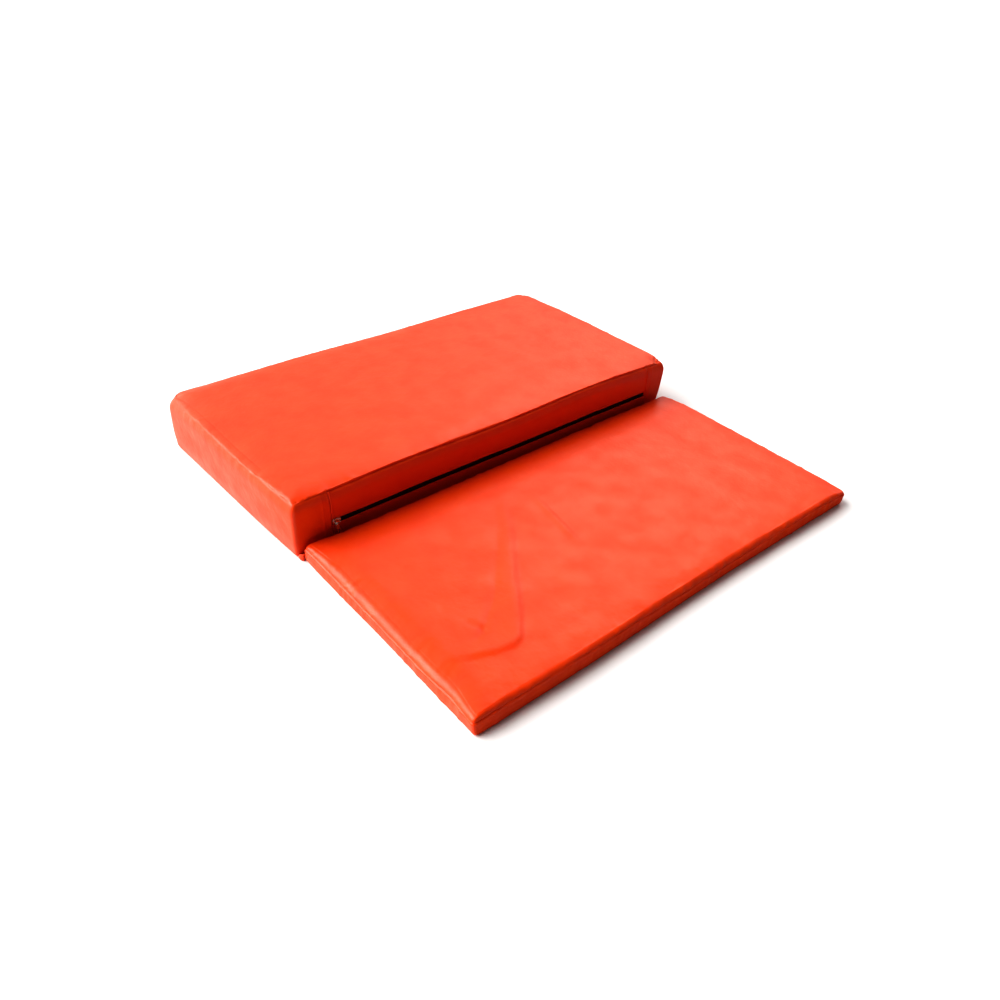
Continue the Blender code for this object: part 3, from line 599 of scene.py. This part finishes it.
def front_place(x, height, depth):
    """A place on the seat's front, some mm behind its skin."""
    y = np.full_like(x, -half_y)
    base, lift = height, front_lift(x)
    for _ in range(8):
        base = height - lift * wall_value(SEAT, 2, base)
    px, py, _ = place_skin(SEAT, x, y, base, np.zeros_like(base))
    return px + seam_lean(x, height), py + depth, height


def tube_faces(rows, columns):
    """Faces of a closed tube whose section has a number of rows, with its two end caps."""
    index = np.arange(rows * columns).reshape(rows, columns)
    quads = grid_quads(np.vstack([index, index[:1]]), turned_over=True)
    return [list(q) for q in quads] + [list(index[:, 0]), list(index[::-1, -1])]


# Rows of a strip's section: mm from its folded edge, and depth behind the seat's skin. The
# fold is round and stitched down, and at the other edge the skin swells and turns inwards.
FOLD = [
    (0, 0.9), (0.06, 0.4), (0.25, -0.15), (0.7, -0.45), (1.2, -0.3),
    (2, 0), (2.6, 0.12), (3, 0.25), (3.4, 0.12), (4.4, 0),
]
SEAM_TURN = [
    (4, -0.1), (3.2, -0.3), (2.4, -0.45), (1.7, -0.35), (1.1, 0),
    (0.7, 0.35), (0.35, 0.8), (0.1, 1.15), (0, 1.4),
]
FLAT_START, FLAT_END = 4.4, 4.8
# How far painted shade reaches from the seam that a strip turns into, in mm.
SEAM_SHADE_REACH = 0.9
# Columns at a strip's ends: mm from the upright seam, and depth there.
STRIP_ENDS = np.array([0.3, 0.45, 0.75, 1.15, 1.7, 2.4])
STRIP_END_DEPTHS = (1.2, 0.5, -0.1, -0.5, -0.6, -0.35)


def make_strip(name, low, high, low_folded, seed):
    """A strip on the seat's front between two functions of x. Its folded edge is round, and
    its other edge turns into the seam."""
    xs = np.concatenate([
        SEAM_LEFT + STRIP_ENDS, np.arange(SEAM_LEFT + 3.1, SEAM_LEFT + 16.0, 0.7),
        np.linspace(SEAM_LEFT + 17.0, SEAM_RIGHT - 4.0, 225), SEAM_RIGHT - STRIP_ENDS[::-1],
    ])
    total = high(xs) - low(xs)
    zeros = 0 * total
    flat = total - FLAT_START - FLAT_END
    front_rows = [(edge + zeros, depth) for edge, depth in FOLD]
    front_rows += [(FLAT_START + flat * share, 0.0) for share in np.linspace(0.0, 1.0, 9)[1:]]
    front_rows += [(total - edge, depth) for edge, depth in SEAM_TURN]
    back_rows = [
        (total - 0.3, 1.75), (total * 0.66, 1.8), (total * 0.33, 1.8),
        (0.6 + zeros, 1.75), (0.12 + zeros, 1.35),
    ]
    wave = 0.3 * soft_noise(xs + 400.0, 31.0, seed) + 0.15 * soft_noise(xs + 400.0, 11.0, seed + 1)
    points, dark = [], []
    for edge, depth in front_rows + back_rows:
        shift = wave * (1 - ease(edge / 12.0))
        at = low(xs) + edge + shift if low_folded else high(xs) - edge - shift
        ripple = 0.0
        if depth < 0.3:
            from_seam = total - edge
            ripple = -puckers(xs - xs[0], from_seam, xs[-1] - xs[0], seed + 5, 9.0, 0.5, 7.0)
            ripple = ripple * (1 - np.exp(-from_seam / 1.2))
        places = front_place(xs, at, depth + ripple)
        points.append(np.stack(places, 1))
        # Painted shade: the colour darkens towards the seam the strip turns into and at its ends in the
        # upright seams.
        painted_end_shade = 0.1 * np.exp(-np.minimum(xs - xs[0], xs[-1] - xs) / 0.3)
        painted_seam_shade = np.maximum(1 - (total - edge) / SEAM_SHADE_REACH, 0)
        dark.append(np.clip(painted_seam_shade + painted_end_shade, 0, 1))
    points = np.array(points)
    # The ends turn back into the upright seams.
    front_part = slice(0, len(front_rows))
    for k, back in enumerate(STRIP_END_DEPTHS):
        for column in (k, -1 - k):
            depths = points[front_part, column, 1] + back
            points[front_part, column, 1] = np.minimum(depths, points[-2, column, 1])
    faces = tube_faces(*points.shape[:2])
    if not low_folded:
        faces = [face[::-1] for face in faces]
    skin = leatherette(name + "_leatherette", 0.3 + 0.01 * seed)
    return make_object(name, points.reshape(-1, 3), faces, skin, {"seam": np.array(dark).ravel()})


STRIP_TOP = 71.9
# Of each strip: its lower and its upper edge, whether the lower one is folded, its seed and
# its flat width in metres.
STRIPS = {
    "zip_strip_upper": (
        lambda x: zip_height(x) + half_opening(x), lambda x: wall_height(x, STRIP_TOP),
        True, 21, 0.034,
    ),
    "zip_strip_lower": (
        lambda x: wall_height(x, RECESS_FOOT), lambda x: zip_height(x) - half_opening(x),
        False, 31, 0.025,
    ),
}
for node, (low, high, low_folded, seed, width) in STRIPS.items():
    strip = make_strip(node + "_skin", low, high, low_folded, seed)
    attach(strip, "root")
    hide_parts(node)

# The leg pad's cover: a foam sheet of 25 mm in a slack cover of the same leatherette, with
# a narrow side strip between its two seams. It was stored folded, so its top keeps creases.
PAD = {
    "centre": (4.2, -153.0),
    "half": (307.0, 152.5),
    "corners": (4.0, 7.0, 3.0, 3.0),
    "skew": 0.0,
    "lower_seam": 4.2,
    "upper_seam": 13.0,
    "rise_height": 13.0,
    "plane": 24.4,
    "crown": 0.9,
    "edges": {"left": (21.7, 10.4), "right": (22.4, 5.0), "front": (22.4, 5.6), "back": (22.4, 3.6)},
    "edge_share": 0.15,
    "corner_reach": 0.6,
    "roll_power": (2.9, 2.0),
    "shoulder": 22.0,
    "gathers": (10.0, 1.5, 12.0),
    "sags": [((1, -1), 3.6, 26.0, 0.0)],
    "sides": {
        "left": [
            (0, 1.5, 3, 3), (0.06, 1, 1.2, 2.2), (0.13, 1, -1.2, 2.2),
            (0.23, 0.5, -0.6, 2), (0.38, -1, -1.2, 2), (0.55, -1.5, -2.8, 1.8),
            (0.75, -1.5, -4.2, 1.9), (0.93, -2.2, -4.4, 2.4), (1, -3.2, -3.4, 4.4),
        ],
        "right": [
            (0, 1.5, 2, 0), (0.12, 0.7, 0.5, 1), (0.25, 1.5, 1, 0),
            (0.6, 1, 0.5, 2), (0.9, -0.8, -2.2, 4), (1, -5.8, -8.6, 4),
        ],
        "front": [
            (0, 2.9, 0, 5.4), (0.05, 3.2, 0.5, 6.8), (0.11, 3.2, 1, 6.2),
            (0.17, 3.2, 1.5, 7.6), (0.26, 2.9, 1.1, 6.4), (0.34, 1.8, 0.3, 5.8),
            (0.41, 0.6, -0.6, 4.3), (0.5, -0.6, -1.3, 3.6), (0.61, -1.6, -2, 4),
            (0.67, -1.5, -1.8, 4.6), (0.78, -1.1, -1.5, 4.8), (0.86, -0.9, -1, 6.8),
            (0.93, -0.6, -0.5, 7.8), (1, 0, 0, 7.2),
        ],
        "back": [
            (0, 1.2, -0.2, 4.4), (0.05, 0.3, -1.2, 3), (0.25, 0, -2, 2),
            (0.5, 0, -1, 3.5), (0.8, 0, 0, 6), (1, -1, -1, 4),
        ],
    },
    "wall": [
        (0, 5, 0), (0.3, 3.2, 0), (1, 2, 0), (2, 1.1, 0), (3.2, 0.6, 0),
        (4.2, 0.5, 0), (5.2, 0.3, 0.1), (9, 0, 0.6), (11.4, 0.1, 0.87), (12.3, 0.4, 0.95),
        (13, 0.7, 1),
    ],
}
# Rows of each crease: x, y, height, and the widths of its inner and its outer side. The inner
# side is on the right hand of the way along it.
PAD_CREASES = {
    "long crease": [
        (-61.6, -55.9, 0.1, 8, 8), (-96.5, -111.1, 1, 14, 9),
        (-147.2, -176.3, 1.4, 21, 9), (-181.3, -224.7, 1.6, 26, 8),
        (-204.1, -250.6, 2, 30, 7.5), (-215.2, -254.3, 2, 30, 8),
        (-233.9, -250.4, 1.7, 26, 9), (-262.1, -239.1, 1, 20, 9),
        (-288, -226, 0, 16, 9),
    ],
    "left line": [
        (-92.3, -89.7, 0, 6, 6), (-140, -143, -0.4, 8, 6), (-181.7, -189.1, -0.6, 9, 6),
        (-227.1, -224.7, -0.9, 9, 5), (-245, -232, -0.2, 8, 6),
    ],
    "faint line": [
        (-238, -184, 0, 6, 8), (-232, -204, -0.4, 6, 8), (-225.5, -226, -0.8, 5, 6),
    ],
    "notch": [(-226.5, -221.0, -0.6, 3.5, 3.5), (-225.0, -228.0, -0.6, 3.5, 3.5)],
    "short crease": [
        (-28, -72, 0, 8, 5), (-36, -112, 0.9, 9, 5), (-44, -155, 0.9, 9, 5),
        (-50, -186, 0, 8, 5),
    ],
}


def crease_rise(px, py, creases):
    """How far the creases raise or lower a top panel, in mm."""
    total = np.zeros_like(px)
    for rows in creases.values():
        nearest = np.full_like(px, 1e6)
        rise = np.zeros_like(px)
        for a, b in zip(rows, rows[1:]):
            run_x, run_y = b[0] - a[0], b[1] - a[1]
            t = np.clip(((px - a[0]) * run_x + (py - a[1]) * run_y) / (run_x ** 2 + run_y ** 2), 0, 1)
            gap = np.hypot(px - a[0] - t * run_x, py - a[1] - t * run_y)
            inner = (px - a[0]) * run_y - (py - a[1]) * run_x > 0
            width = np.where(inner, a[3] + (b[3] - a[3]) * t, a[4] + (b[4] - a[4]) * t)
            here = (a[2] + (b[2] - a[2]) * t) * (1 - ease(gap / width))
            rise = np.where(gap < nearest, here, rise)
            nearest = np.minimum(gap, nearest)
        total += rise
    return total


PAD_HEIGHTS = np.array([
    0, 0.3, 1, 2, 2.9, 3.5, 3.9, 4.2, 4.5, 4.9, 5.5,
    6.6, 8.2, 9.8, 11, 11.7, 12.1, 12.4, 12.65, 12.85, 13,
])
PAD_ROLLS = np.array([
    0.02, 0.045, 0.08, 0.13, 0.19, 0.26, 0.34, 0.42, 0.5, 0.58, 0.66, 0.74, 0.82, 0.89, 0.95, 1,
])
PAD_ROLL_LENGTH = 10.0
PAD_SPACING = 2.7
xs, ys = (axis_places(half, PAD_SPACING) for half in PAD["half"])
x, y, height, t, panel, faces = skin_arrays(PAD_HEIGHTS, PAD_ROLLS, xs, ys)
on_wall = panel == 1
from_upper = height - PAD["upper_seam"] + t * PAD_ROLL_LENGTH
grooves = 0.5 * seam_groove(from_upper) + 0.3 * seam_groove(height - PAD["lower_seam"])
lips = 0.4 * seam_lip(from_upper, -1.3, 0.8)
extra = np.where(on_wall, grooves - lips, 0.0)
px, py, pz = place_skin(PAD, x, y, height, t, extra, seam_wander(PAD, x, y, 61))
pz = pz + np.where(panel == 2, crease_rise(px, py, PAD_CREASES), 0.0)
pad_skin = leatherette("pad_leatherette", 0.6)
# Painted shade: the seam grooves are darkened through the seam value.
dark = np.clip(np.where(on_wall, grooves, 0), 0, 1)
pad_cover = make_object("pad_cover", np.stack([px, py, pz], 1), faces, pad_skin, {"seam": dark})
gathers = seam_gathers(PAD, x, y, height, t, panel, 200)
swell(pad_cover, gathers + np.where(panel == 2, slack(px, py, 90, 36.0, 0.6), 0.0))
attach(pad_cover, "root")
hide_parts("leg_pad")

# The hinge: a strip of the same leatherette caught in the lower seams of the seat and the
# leg pad. It hangs down the seat's foot and turns under the pad, and its left end is turned
# out over the corner of the gap.
HINGE_MIDDLE_Y = 2.1
# Rows of its section: distance behind the middle of the gap, and height.
HINGE_ROWS = [
    (1.45, 9.2), (1.45, 7.4), (1.45, 5.6), (1.35, 4.2), (1.15, 3.1),
    (0.75, 2.2), (0.1, 1.65), (-0.7, 1.35), (-1.8, 1.22), (-3, 1.2),
]
HINGE_THICKNESS, HINGE_EDGE_ROUND = 1.5, 0.35
hinge_xs = np.linspace(-296.0, 293.0, 200)
hinge_points = []
for row_y, row_z in HINGE_ROWS:
    droop = 0.12 * soft_noise(hinge_xs + 400.0, 17.0, 5)
    hinge_points.append(np.stack([hinge_xs, HINGE_MIDDLE_Y + row_y + 0 * hinge_xs, row_z + droop], 1))
rows, columns = len(HINGE_ROWS), len(hinge_xs)
quads = grid_quads(np.arange(rows * columns).reshape(rows, columns))
# Columns of the turned end, from the seat's corner to the pad's: x, y, foot and top.
END_ROWS = [
    (-300.4, 9.6, 0.6, 5.5), (-301.6, 7.6, 0.5, 6), (-302, 5.6, 0.5, 6.6), (-302, 3.6, 0.5, 7.4),
    (-301.7, 1.9, 0.5, 8.2), (-301.1, 0.6, 0.5, 8.8), (-300.2, -0.3, 0.6, 9.2),
    (-299.3, -0.6, 0.8, 9.2),
]
END_STEPS = 7
end_points = []
for share in np.linspace(0.0, 1.0, END_STEPS):
    bulge = 0.5 * math.sin(math.pi * share)
    for row_x, row_y, foot, top in END_ROWS:
        end_points.append((
            row_x - bulge + 0.8 * share, row_y - bulge * 0.3, foot + (top - foot) * share,
        ))
end_index = np.arange(len(end_points)).reshape(END_STEPS, len(END_ROWS)) + rows * columns
end_quads = grid_quads(end_index, turned_over=True)
points = np.concatenate([np.array(hinge_points).reshape(-1, 3), np.array(end_points)])
hinge_skin = leatherette("hinge_leatherette", 0.9)
faces = np.concatenate([quads, end_quads])
hinge_cover = make_object("hinge_skin", points, faces, hinge_skin, {"seam": np.zeros(len(points))})
bpy.context.view_layer.objects.active = hinge_cover
for kind, settings in (
    ("SOLIDIFY", {"thickness": HINGE_THICKNESS * MM, "offset": 0.0}),
    ("BEVEL", {"width": HINGE_EDGE_ROUND * MM, "segments": 2, "limit_method": "ANGLE"}),
):
    modifier = hinge_cover.modifiers.new(kind.title(), kind)
    for key, value in settings.items():
        setattr(modifier, key, value)
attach(hinge_cover, "root")
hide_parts("hinge_strip")

# The zip's tape: black polyester woven in a fine twill, behind a closed coil chain of
# black nylon, whose two rows of loops interlock along the middle.
zip_xs = np.linspace(SLIDER_X - 3.4, SEAM_RIGHT - 0.9, 210)
TAPE_HALF_WIDTH = ZIP_OPENING / 2 - 0.25
# Rows of the tape's section: share of its half width, and depth behind the seat's skin.
TAPE_ROWS = [(-1.0, 1.45), (-1.0, 1.25), (0.0, 1.2), (1.0, 1.25), (1.0, 1.45), (0.0, 1.75)]
points = np.concatenate([
    np.stack(front_place(zip_xs, zip_height(zip_xs) + share * TAPE_HALF_WIDTH, depth), 1)
    for share, depth in TAPE_ROWS
])


def finish_surface(tree, shader, pattern, colours, rough=None, relief=None):
    """Gives a shader a pattern's two colours, and if named its roughness and its relief:
    depth in metres and strength."""
    shade = pattern.outputs["Fac"]
    tint = add_node(tree, "Mix", {"data_type": "RGBA"}, {
        0: shade, 6: linear(colours[0]), 7: linear(colours[1]),
    })
    tree.links.new(tint.outputs[2], shader.inputs["Base Color"])
    if rough:
        spread = add_node(tree, "MapRange", {}, {"Value": shade, **rough})
        tree.links.new(spread.outputs[0], shader.inputs["Roughness"])
    if relief:
        bump = add_node(tree, "Bump", {}, {
            "Height": shade, "Distance": relief[0], "Strength": relief[1],
        })
        tree.links.new(bump.outputs[0], shader.inputs["Normal"])


# Woven polyester: a matt black with faint diagonal lines. Twill threads are 0.25 mm apart,
# and they are drawn about 3.6 mm apart so that they show.
material, tree, shader, places = start_material("woven_polyester")
twill = add_node(tree, "TexWave", {"bands_direction": "DIAGONAL"}, {
    "Vector": places, "Scale": 100.0, "Distortion": 0.6,
})
finish_surface(tree, shader, twill, ("0C0B0A", "1F1C1A"), relief=(0.00008, 0.6))
shader.inputs["Roughness"].default_value = 0.85
zip_tape = make_object("zip_tape_weave", points, tube_faces(len(TAPE_ROWS), len(zip_xs)), material)
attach(zip_tape, "root")
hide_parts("zip_tape")

COIL_PITCH, COIL_WIRE, COIL_SLANT = 1.27, 0.31, 0.16
coil_start = SLIDER_X + 2.0
coil_count = int((SEAM_RIGHT - 1.6 - coil_start) / COIL_PITCH)
# Rows of one loop seen from the front: distance from the chain's middle towards the tape's
# edge, depth behind the seat's skin, and the wire's thickness as a share.
LOOP = [
    (-0.75, 1, 0.35), (-0.7, 0.72, 0.9), (-0.35, 0.45, 1.25), (0.3, 0.32, 1.15),
    (1.4, 0.3, 1), (2.3, 0.38, 1), (2.75, 0.62, 0.9), (2.85, 1, 0.5),
]
LOOP_HALF_WIDTH = 2.8
AROUND = 6


def ring_faces(rows, around, first=0):
    """Faces of a stack of rings of points, then its first and its last ring as caps."""
    faces = []
    for r in range(rows - 1):
        for k in range(around):
            a, b = first + r * around + k, first + r * around + (k + 1) % around
            faces.append([a, b, b + around, a + around])
    last = first + (rows - 1) * around
    return faces + [[first + k for k in reversed(range(around))], [last + k for k in range(around)]]


points, all_faces = [], []
for side in (1, -1):
    starts = coil_start + COIL_PITCH * (np.arange(coil_count) + (0.25 if side > 0 else 0.75))
    for at in starts:
        loop_faces = ring_faces(len(LOOP), AROUND, len(points))
        all_faces += [face[::side] for face in loop_faces]
        for across, depth, wire in LOOP:
            middle = zip_height(np.array([at]))
            x0, y0, z0 = (v[0] for v in front_place(np.array([at]), middle + side * across, depth))
            slant = COIL_SLANT * side * across / LOOP_HALF_WIDTH
            for k in range(AROUND):
                angle = 2 * math.pi * k / AROUND
                points.append((
                    x0 + COIL_WIRE * wire * math.cos(angle) + slant,
                    y0 + COIL_WIRE * wire * math.sin(angle), z0,
                ))
# Drawn nylon: smooth and black, with a small highlight on each loop where it isn't scuffed.
material, tree, shader, places = start_material("drawn_nylon")
scuffs = add_node(tree, "TexNoise", {}, {"Vector": places, "Scale": 1 / 0.003, "Detail": 3.0})
gloss = {"To Min": 0.25, "To Max": 0.45}
finish_surface(tree, shader, scuffs, ("0A0909", "1C1A19"), gloss, (0.00003, 0.4))
shader.inputs["IOR"].default_value = 1.53
zip_coils = make_object("zip_coils", points, all_faces, material)
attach(zip_coils, "root")

# The slider: die-cast zinc alloy, plated with nickel and polished in a tumbler. It wraps the
# chain, and its bridge holds the pull.
at = np.array([SLIDER_X])
slider_x, slider_y, slider_z = (float(v[0]) for v in front_place(at, zip_height(at), 0.0))
slider_y -= 0.15
slider_z += 1.2
# Tumbled plate: bright, with reflections that its scratches blur a little. They are about
# 0.3 mm apart, and they are drawn at 0.8 mm so that they show.
nickel, tree, shader, places = start_material("tumbled_nickel_plate")
scratches = add_node(tree, "TexNoise", {}, {
    "Vector": places, "Scale": 1 / 0.0008, "Detail": 6.0, "Roughness": 0.7,
})
gloss = {"From Min": 0.3, "From Max": 0.7, "To Min": 0.15, "To Max": 0.3}
finish_surface(tree, shader, scratches, ("E2DDD5", "C6C0B7"), gloss, (0.00002, 0.5))
shader.inputs["Metallic"].default_value = 1.0

# Half outline of the slider's plate, from its broad mouth to its tail: x along the chain and
# half height. The plate's rows are mm drawn in from the outline, and mm in front of the chain.
PLATE_OUTLINE = [
    (-5.5, 1.6), (-5.2, 2.6), (-4.4, 3.5), (-3.2, 4.05), (-1.8, 4.2), (0, 3.9),
    (1.8, 3.3), (3.6, 2.8), (4.9, 2.5), (5.4, 2), (5.5, 1),
]
PLATE_ROWS = [
    (0.5, -0.9), (0.1, -0.75), (0, -0.4), (0, 0.3),
    (0.12, 0.8), (0.45, 1.15), (1, 1.35), (1.7, 1.45),
]
PLATE_DEPTH = 0.9
ring = PLATE_OUTLINE + [(x, -z) for x, z in reversed(PLATE_OUTLINE)]
points = []
for inset, front in PLATE_ROWS:
    for x, z in ring:
        reach = math.hypot(x, z)
        scale = max(reach - inset, 0.1) / reach
        points.append((slider_x + x * scale, slider_y - PLATE_DEPTH - front, slider_z + z * scale))
all_faces = [face[::-1] for face in ring_faces(len(PLATE_ROWS), len(ring))]
slider = make_object("slider_body", points, all_faces, nickel)
rounding = slider.modifiers.new("Rounding", "SUBSURF")
rounding.levels = rounding.render_levels = 2


def curve_mesh(curve, material):
    """The mesh of a curve with its bevel."""
    holder = add_object(curve.name + "_outline", curve)
    bpy.context.view_layer.update()
    mesh = bpy.data.meshes.new_from_object(
        holder.evaluated_get(bpy.context.evaluated_depsgraph_get())
    )
    bpy.data.objects.remove(holder)
    mesh.shade_smooth()
    mesh.materials.clear()
    mesh.materials.append(material)
    return mesh


def round_wire(name, points, radius, cyclic, material):
    """A round wire through some points in mm, as a mesh object."""
    curve = bpy.data.curves.new(name, "CURVE")
    curve.dimensions = "3D"
    curve.bevel_depth = radius * MM
    curve.bevel_resolution = 4
    curve.use_fill_caps = not cyclic
    spline = curve.splines.new("POLY")
    spline.points.add(len(points) - 1)
    for target, point in zip(spline.points, points):
        target.co = (point[0] * MM, point[1] * MM, point[2] * MM, 1.0)
    spline.use_cyclic_u = cyclic
    return add_object(name, curve_mesh(curve, material))


BRIDGE_LENGTH, BRIDGE_REACH, BRIDGE_WIRE = 6.4, 3.0, 0.6
bridge_face = slider_y - 2.3
bridge_points = []
for k in range(25):
    angle = math.pi * k / 24
    along = math.copysign(abs(math.cos(angle)) ** 0.5, math.cos(angle))
    out = math.sin(angle) ** 0.5 * (BRIDGE_REACH + BRIDGE_WIRE)
    bridge_points.append((
        slider_x + along * BRIDGE_LENGTH / 2, bridge_face + BRIDGE_WIRE - out, slider_z,
    ))
bridge = round_wire("slider_bridge", bridge_points, BRIDGE_WIRE, False, nickel)
for piece in (slider, bridge):
    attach(piece, "root")
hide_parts("zip_slider")

# The pull: a stamped tab of the same plated alloy, with a slot, on a wire eye about the
# slider's bridge. It hangs down and leans a little to one side.
PULL_LEAN = math.radians(13.0)
EYE_RADIUS, EYE_WIRE = 1.75, 0.5
eye_x = slider_x - 2.6
eye_y = bridge_face - BRIDGE_REACH + 0.1
eye_z = slider_z - (EYE_RADIUS - EYE_WIRE - BRIDGE_WIRE - 0.3)
eye_points = []
for k in range(24):
    angle = 2 * math.pi * k / 24
    eye_points.append((
        eye_x, eye_y + EYE_RADIUS * math.cos(angle), eye_z + EYE_RADIUS * math.sin(angle),
    ))
eye = round_wire("pull_eye", eye_points, EYE_WIRE, True, nickel)
# Half widths of the tab and of its slot, their lengths and their corners' radii.
PULL_TOP, PULL_FOOT, PULL_LENGTH, PULL_CORNER = 1.5, 2.5, 12.8, 1.1
SLOT_HALF_WIDTH, SLOT_LENGTH, SLOT_CORNER = 0.8, 5.5, 0.7
curve = bpy.data.curves.new("pull_tab", "CURVE")
curve.dimensions = "2D"
curve.fill_mode = "BOTH"
curve.extrude = 0.25 * MM
curve.bevel_depth = 0.25 * MM
curve.bevel_resolution = 3


def tab_outline(top, foot, length, start, corner):
    """Points of a tapered outline with round corners, hung from its start, in mm."""
    made = []
    for sign_x, sign_z, turn in ((1, 1, 90), (1, -1, 0), (-1, -1, -90), (-1, 1, 180)):
        half_width, z = (top, start) if sign_z > 0 else (foot, start - length)
        for k in range(7):
            angle = math.radians(turn - 90 * k / 6)
            made.append((
                sign_x * (half_width - corner) + corner * math.cos(angle),
                z - sign_z * corner + corner * math.sin(angle),
            ))
    return made


for outline in (
    tab_outline(PULL_TOP, PULL_FOOT, PULL_LENGTH, -EYE_RADIUS + 0.1, PULL_CORNER),
    tab_outline(
        SLOT_HALF_WIDTH, SLOT_HALF_WIDTH, SLOT_LENGTH,
        -EYE_RADIUS - PULL_LENGTH * 0.62 + SLOT_LENGTH / 2, SLOT_CORNER,
    ),
):
    spline = curve.splines.new("POLY")
    spline.points.add(len(outline) - 1)
    for target, (px, pz) in zip(spline.points, outline):
        target.co = (px * MM, pz * MM, 0.0, 1.0)
    spline.use_cyclic_u = True
mesh = curve_mesh(curve, nickel)
stand_up = Matrix.Rotation(math.radians(90), 4, "X")
lean = Matrix.Rotation(-PULL_LEAN, 4, "Y")
mesh.transform(Matrix.Translation((eye_x * MM, eye_y * MM, eye_z * MM)) @ lean @ stand_up)
mesh.set_sharp_from_angle(angle=math.radians(40))
pull = add_object("pull_tab", mesh)
for piece in (pull, eye):
    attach(piece, "root")
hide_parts("zip_pull")

# The floor: a wide flat sheet of white paper, under soft window light from the back and the
# left. Matt paper has no shine, and its fibres mottle it in patches of about 4 mm.
material, tree, shader, places = start_material("matt_paper")
fibres = add_node(tree, "TexNoise", {}, {"Vector": places, "Scale": 1 / 0.004, "Detail": 4.0})
finish_surface(tree, shader, fibres, ("F4F4F4", "F7F7F7"))
shader.inputs["Roughness"].default_value = 0.9
bpy.ops.mesh.primitive_plane_add(size=60.0, location=(0, 0, -0.0002))
floor = bpy.context.object
floor.name = "floor"
floor.data.materials.append(material)
# Reflections pass the floor by, so the cushion mirrors the lower half of the room instead.
floor.visible_glossy = False

world = bpy.data.worlds.new("studio")
bpy.context.scene.world = world
world.use_nodes = True
tree = world.node_tree
direction = add_node(tree, "TexCoord", {}, {}).outputs["Generated"]
# The room is bright behind the cushion, most of all in one window's pane and in a broad glow
# at the left, and dark overhead. In front of the cushion it is dim. Below the horizon only
# reflections see it: pale at the left and behind, and dark in front.
height_part = add_node(tree, "SeparateXYZ", {}, {0: direction}).outputs[2]
low = add_node(tree, "ValToRGB", {}, {0: height_part})
# Sine of the height above the horizon, and brightness there.
ROOM_ROWS = [
    (0, 0.6), (0.25, 0.5), (0.42, 0.55), (0.54, 0.85), (0.62, 1.15),
    (0.68, 1.1), (0.74, 0.3), (0.8, 0.06), (1, 0.03),
]
low.color_ramp.elements[0].color = (ROOM_ROWS[0][1],) * 3 + (1.0,)
low.color_ramp.elements[1].color = (ROOM_ROWS[-1][1],) * 3 + (1.0,)
for place, value in ROOM_ROWS[1:-1]:
    low.color_ramp.elements.new(place).color = (value, value, value, 1.0)


def bright_towards(aim, dark_dot, bright_dot, dark, bright):
    """A value that goes smoothly from dark to bright as a direction nears the aim."""
    dot = add_node(tree, "VectorMath", {"operation": "DOT_PRODUCT"}, {0: direction, 1: aim})
    return add_node(tree, "MapRange", {"interpolation_type": "SMOOTHSTEP"}, {
        "Value": dot.outputs["Value"],
        "From Min": dark_dot, "From Max": bright_dot, "To Min": dark, "To Max": bright,
    }).outputs[0]


back = bright_towards((0.35, 0.94, 0.0), -0.1, 0.6, 0.12, 1.0)
pane = bright_towards((0.61, 0.45, 0.655), 0.955, 0.99, 0.0, 2.1)
glow = bright_towards((-0.608, 0.71, 0.355), 0.35, 0.9, 0.0, 1.5)
room = add_node(tree, "Math", {"operation": "MULTIPLY"}, {0: low.outputs[0], 1: back})
for bright in (pane, glow):
    room = add_node(tree, "Math", {"operation": "MAXIMUM"}, {0: room.outputs[0], 1: bright})
ground = bright_towards((-0.7, 0.7, 0.0), -0.2, 0.7, 0.0, 0.85)
ground = add_node(tree, "Math", {"operation": "MAXIMUM"}, {0: ground, 1: glow})
above = add_node(tree, "MapRange", {}, {"Value": height_part, "From Min": -0.03, "From Max": 0.03})
strength = add_node(tree, "Mix", {"data_type": "FLOAT"}, {
    0: above.outputs[0], 2: ground.outputs[0], 3: room.outputs[0],
})
ROOM_STRENGTH = 1.1
strength = add_node(tree, "Math", {"operation": "MULTIPLY"}, {0: strength.outputs[0], 1: ROOM_STRENGTH})
tree.links.new(strength.outputs[0], tree.nodes["Background"].inputs[1])
tree.nodes["Background"].inputs[0].default_value = (1.0, 0.985, 0.97, 1.0)

# The key is a broad window far off at the back left.
KEY_FROM = (-0.58, 0.5, 0.645)
light = bpy.data.lights.new("window", "SUN")
light.energy = 2.55
light.angle = math.radians(50)
light.color = (1.0, 0.98, 0.96)
window = add_object("window", light)
window.matrix_world = Vector(KEY_FROM).to_track_quat("Z", "Y").to_matrix().to_4x4()

# The camera looks down at the cushion from above its near left corner, and is turned a little.
CAMERA_PLACE = (-0.6527, -0.6895, 0.6418)
YAW, PITCH, ROLL = -0.7513876, 0.6254230, 0.0772790
FOCAL_PIXELS, IMAGE_PIXELS, SENSOR = 877.303, 1000.0, 36.0
forward = np.array([
    -math.sin(YAW) * math.cos(PITCH), math.cos(YAW) * math.cos(PITCH), -math.sin(PITCH),
])
right = np.array([math.cos(YAW), math.sin(YAW), 0.0])
up = np.cross(right, forward)
turned = np.eye(4)
turned[:3, 0] = math.cos(ROLL) * right + math.sin(ROLL) * up
turned[:3, 1] = -math.sin(ROLL) * right + math.cos(ROLL) * up
turned[:3, 2] = -forward
turned[:3, 3] = CAMERA_PLACE
lens = bpy.data.cameras.new("camera")
lens.sensor_width = SENSOR
lens.lens = FOCAL_PIXELS / IMAGE_PIXELS * SENSOR
camera = add_object("camera", lens)
camera.matrix_world = Matrix(turned.tolist())
bpy.context.scene.camera = camera
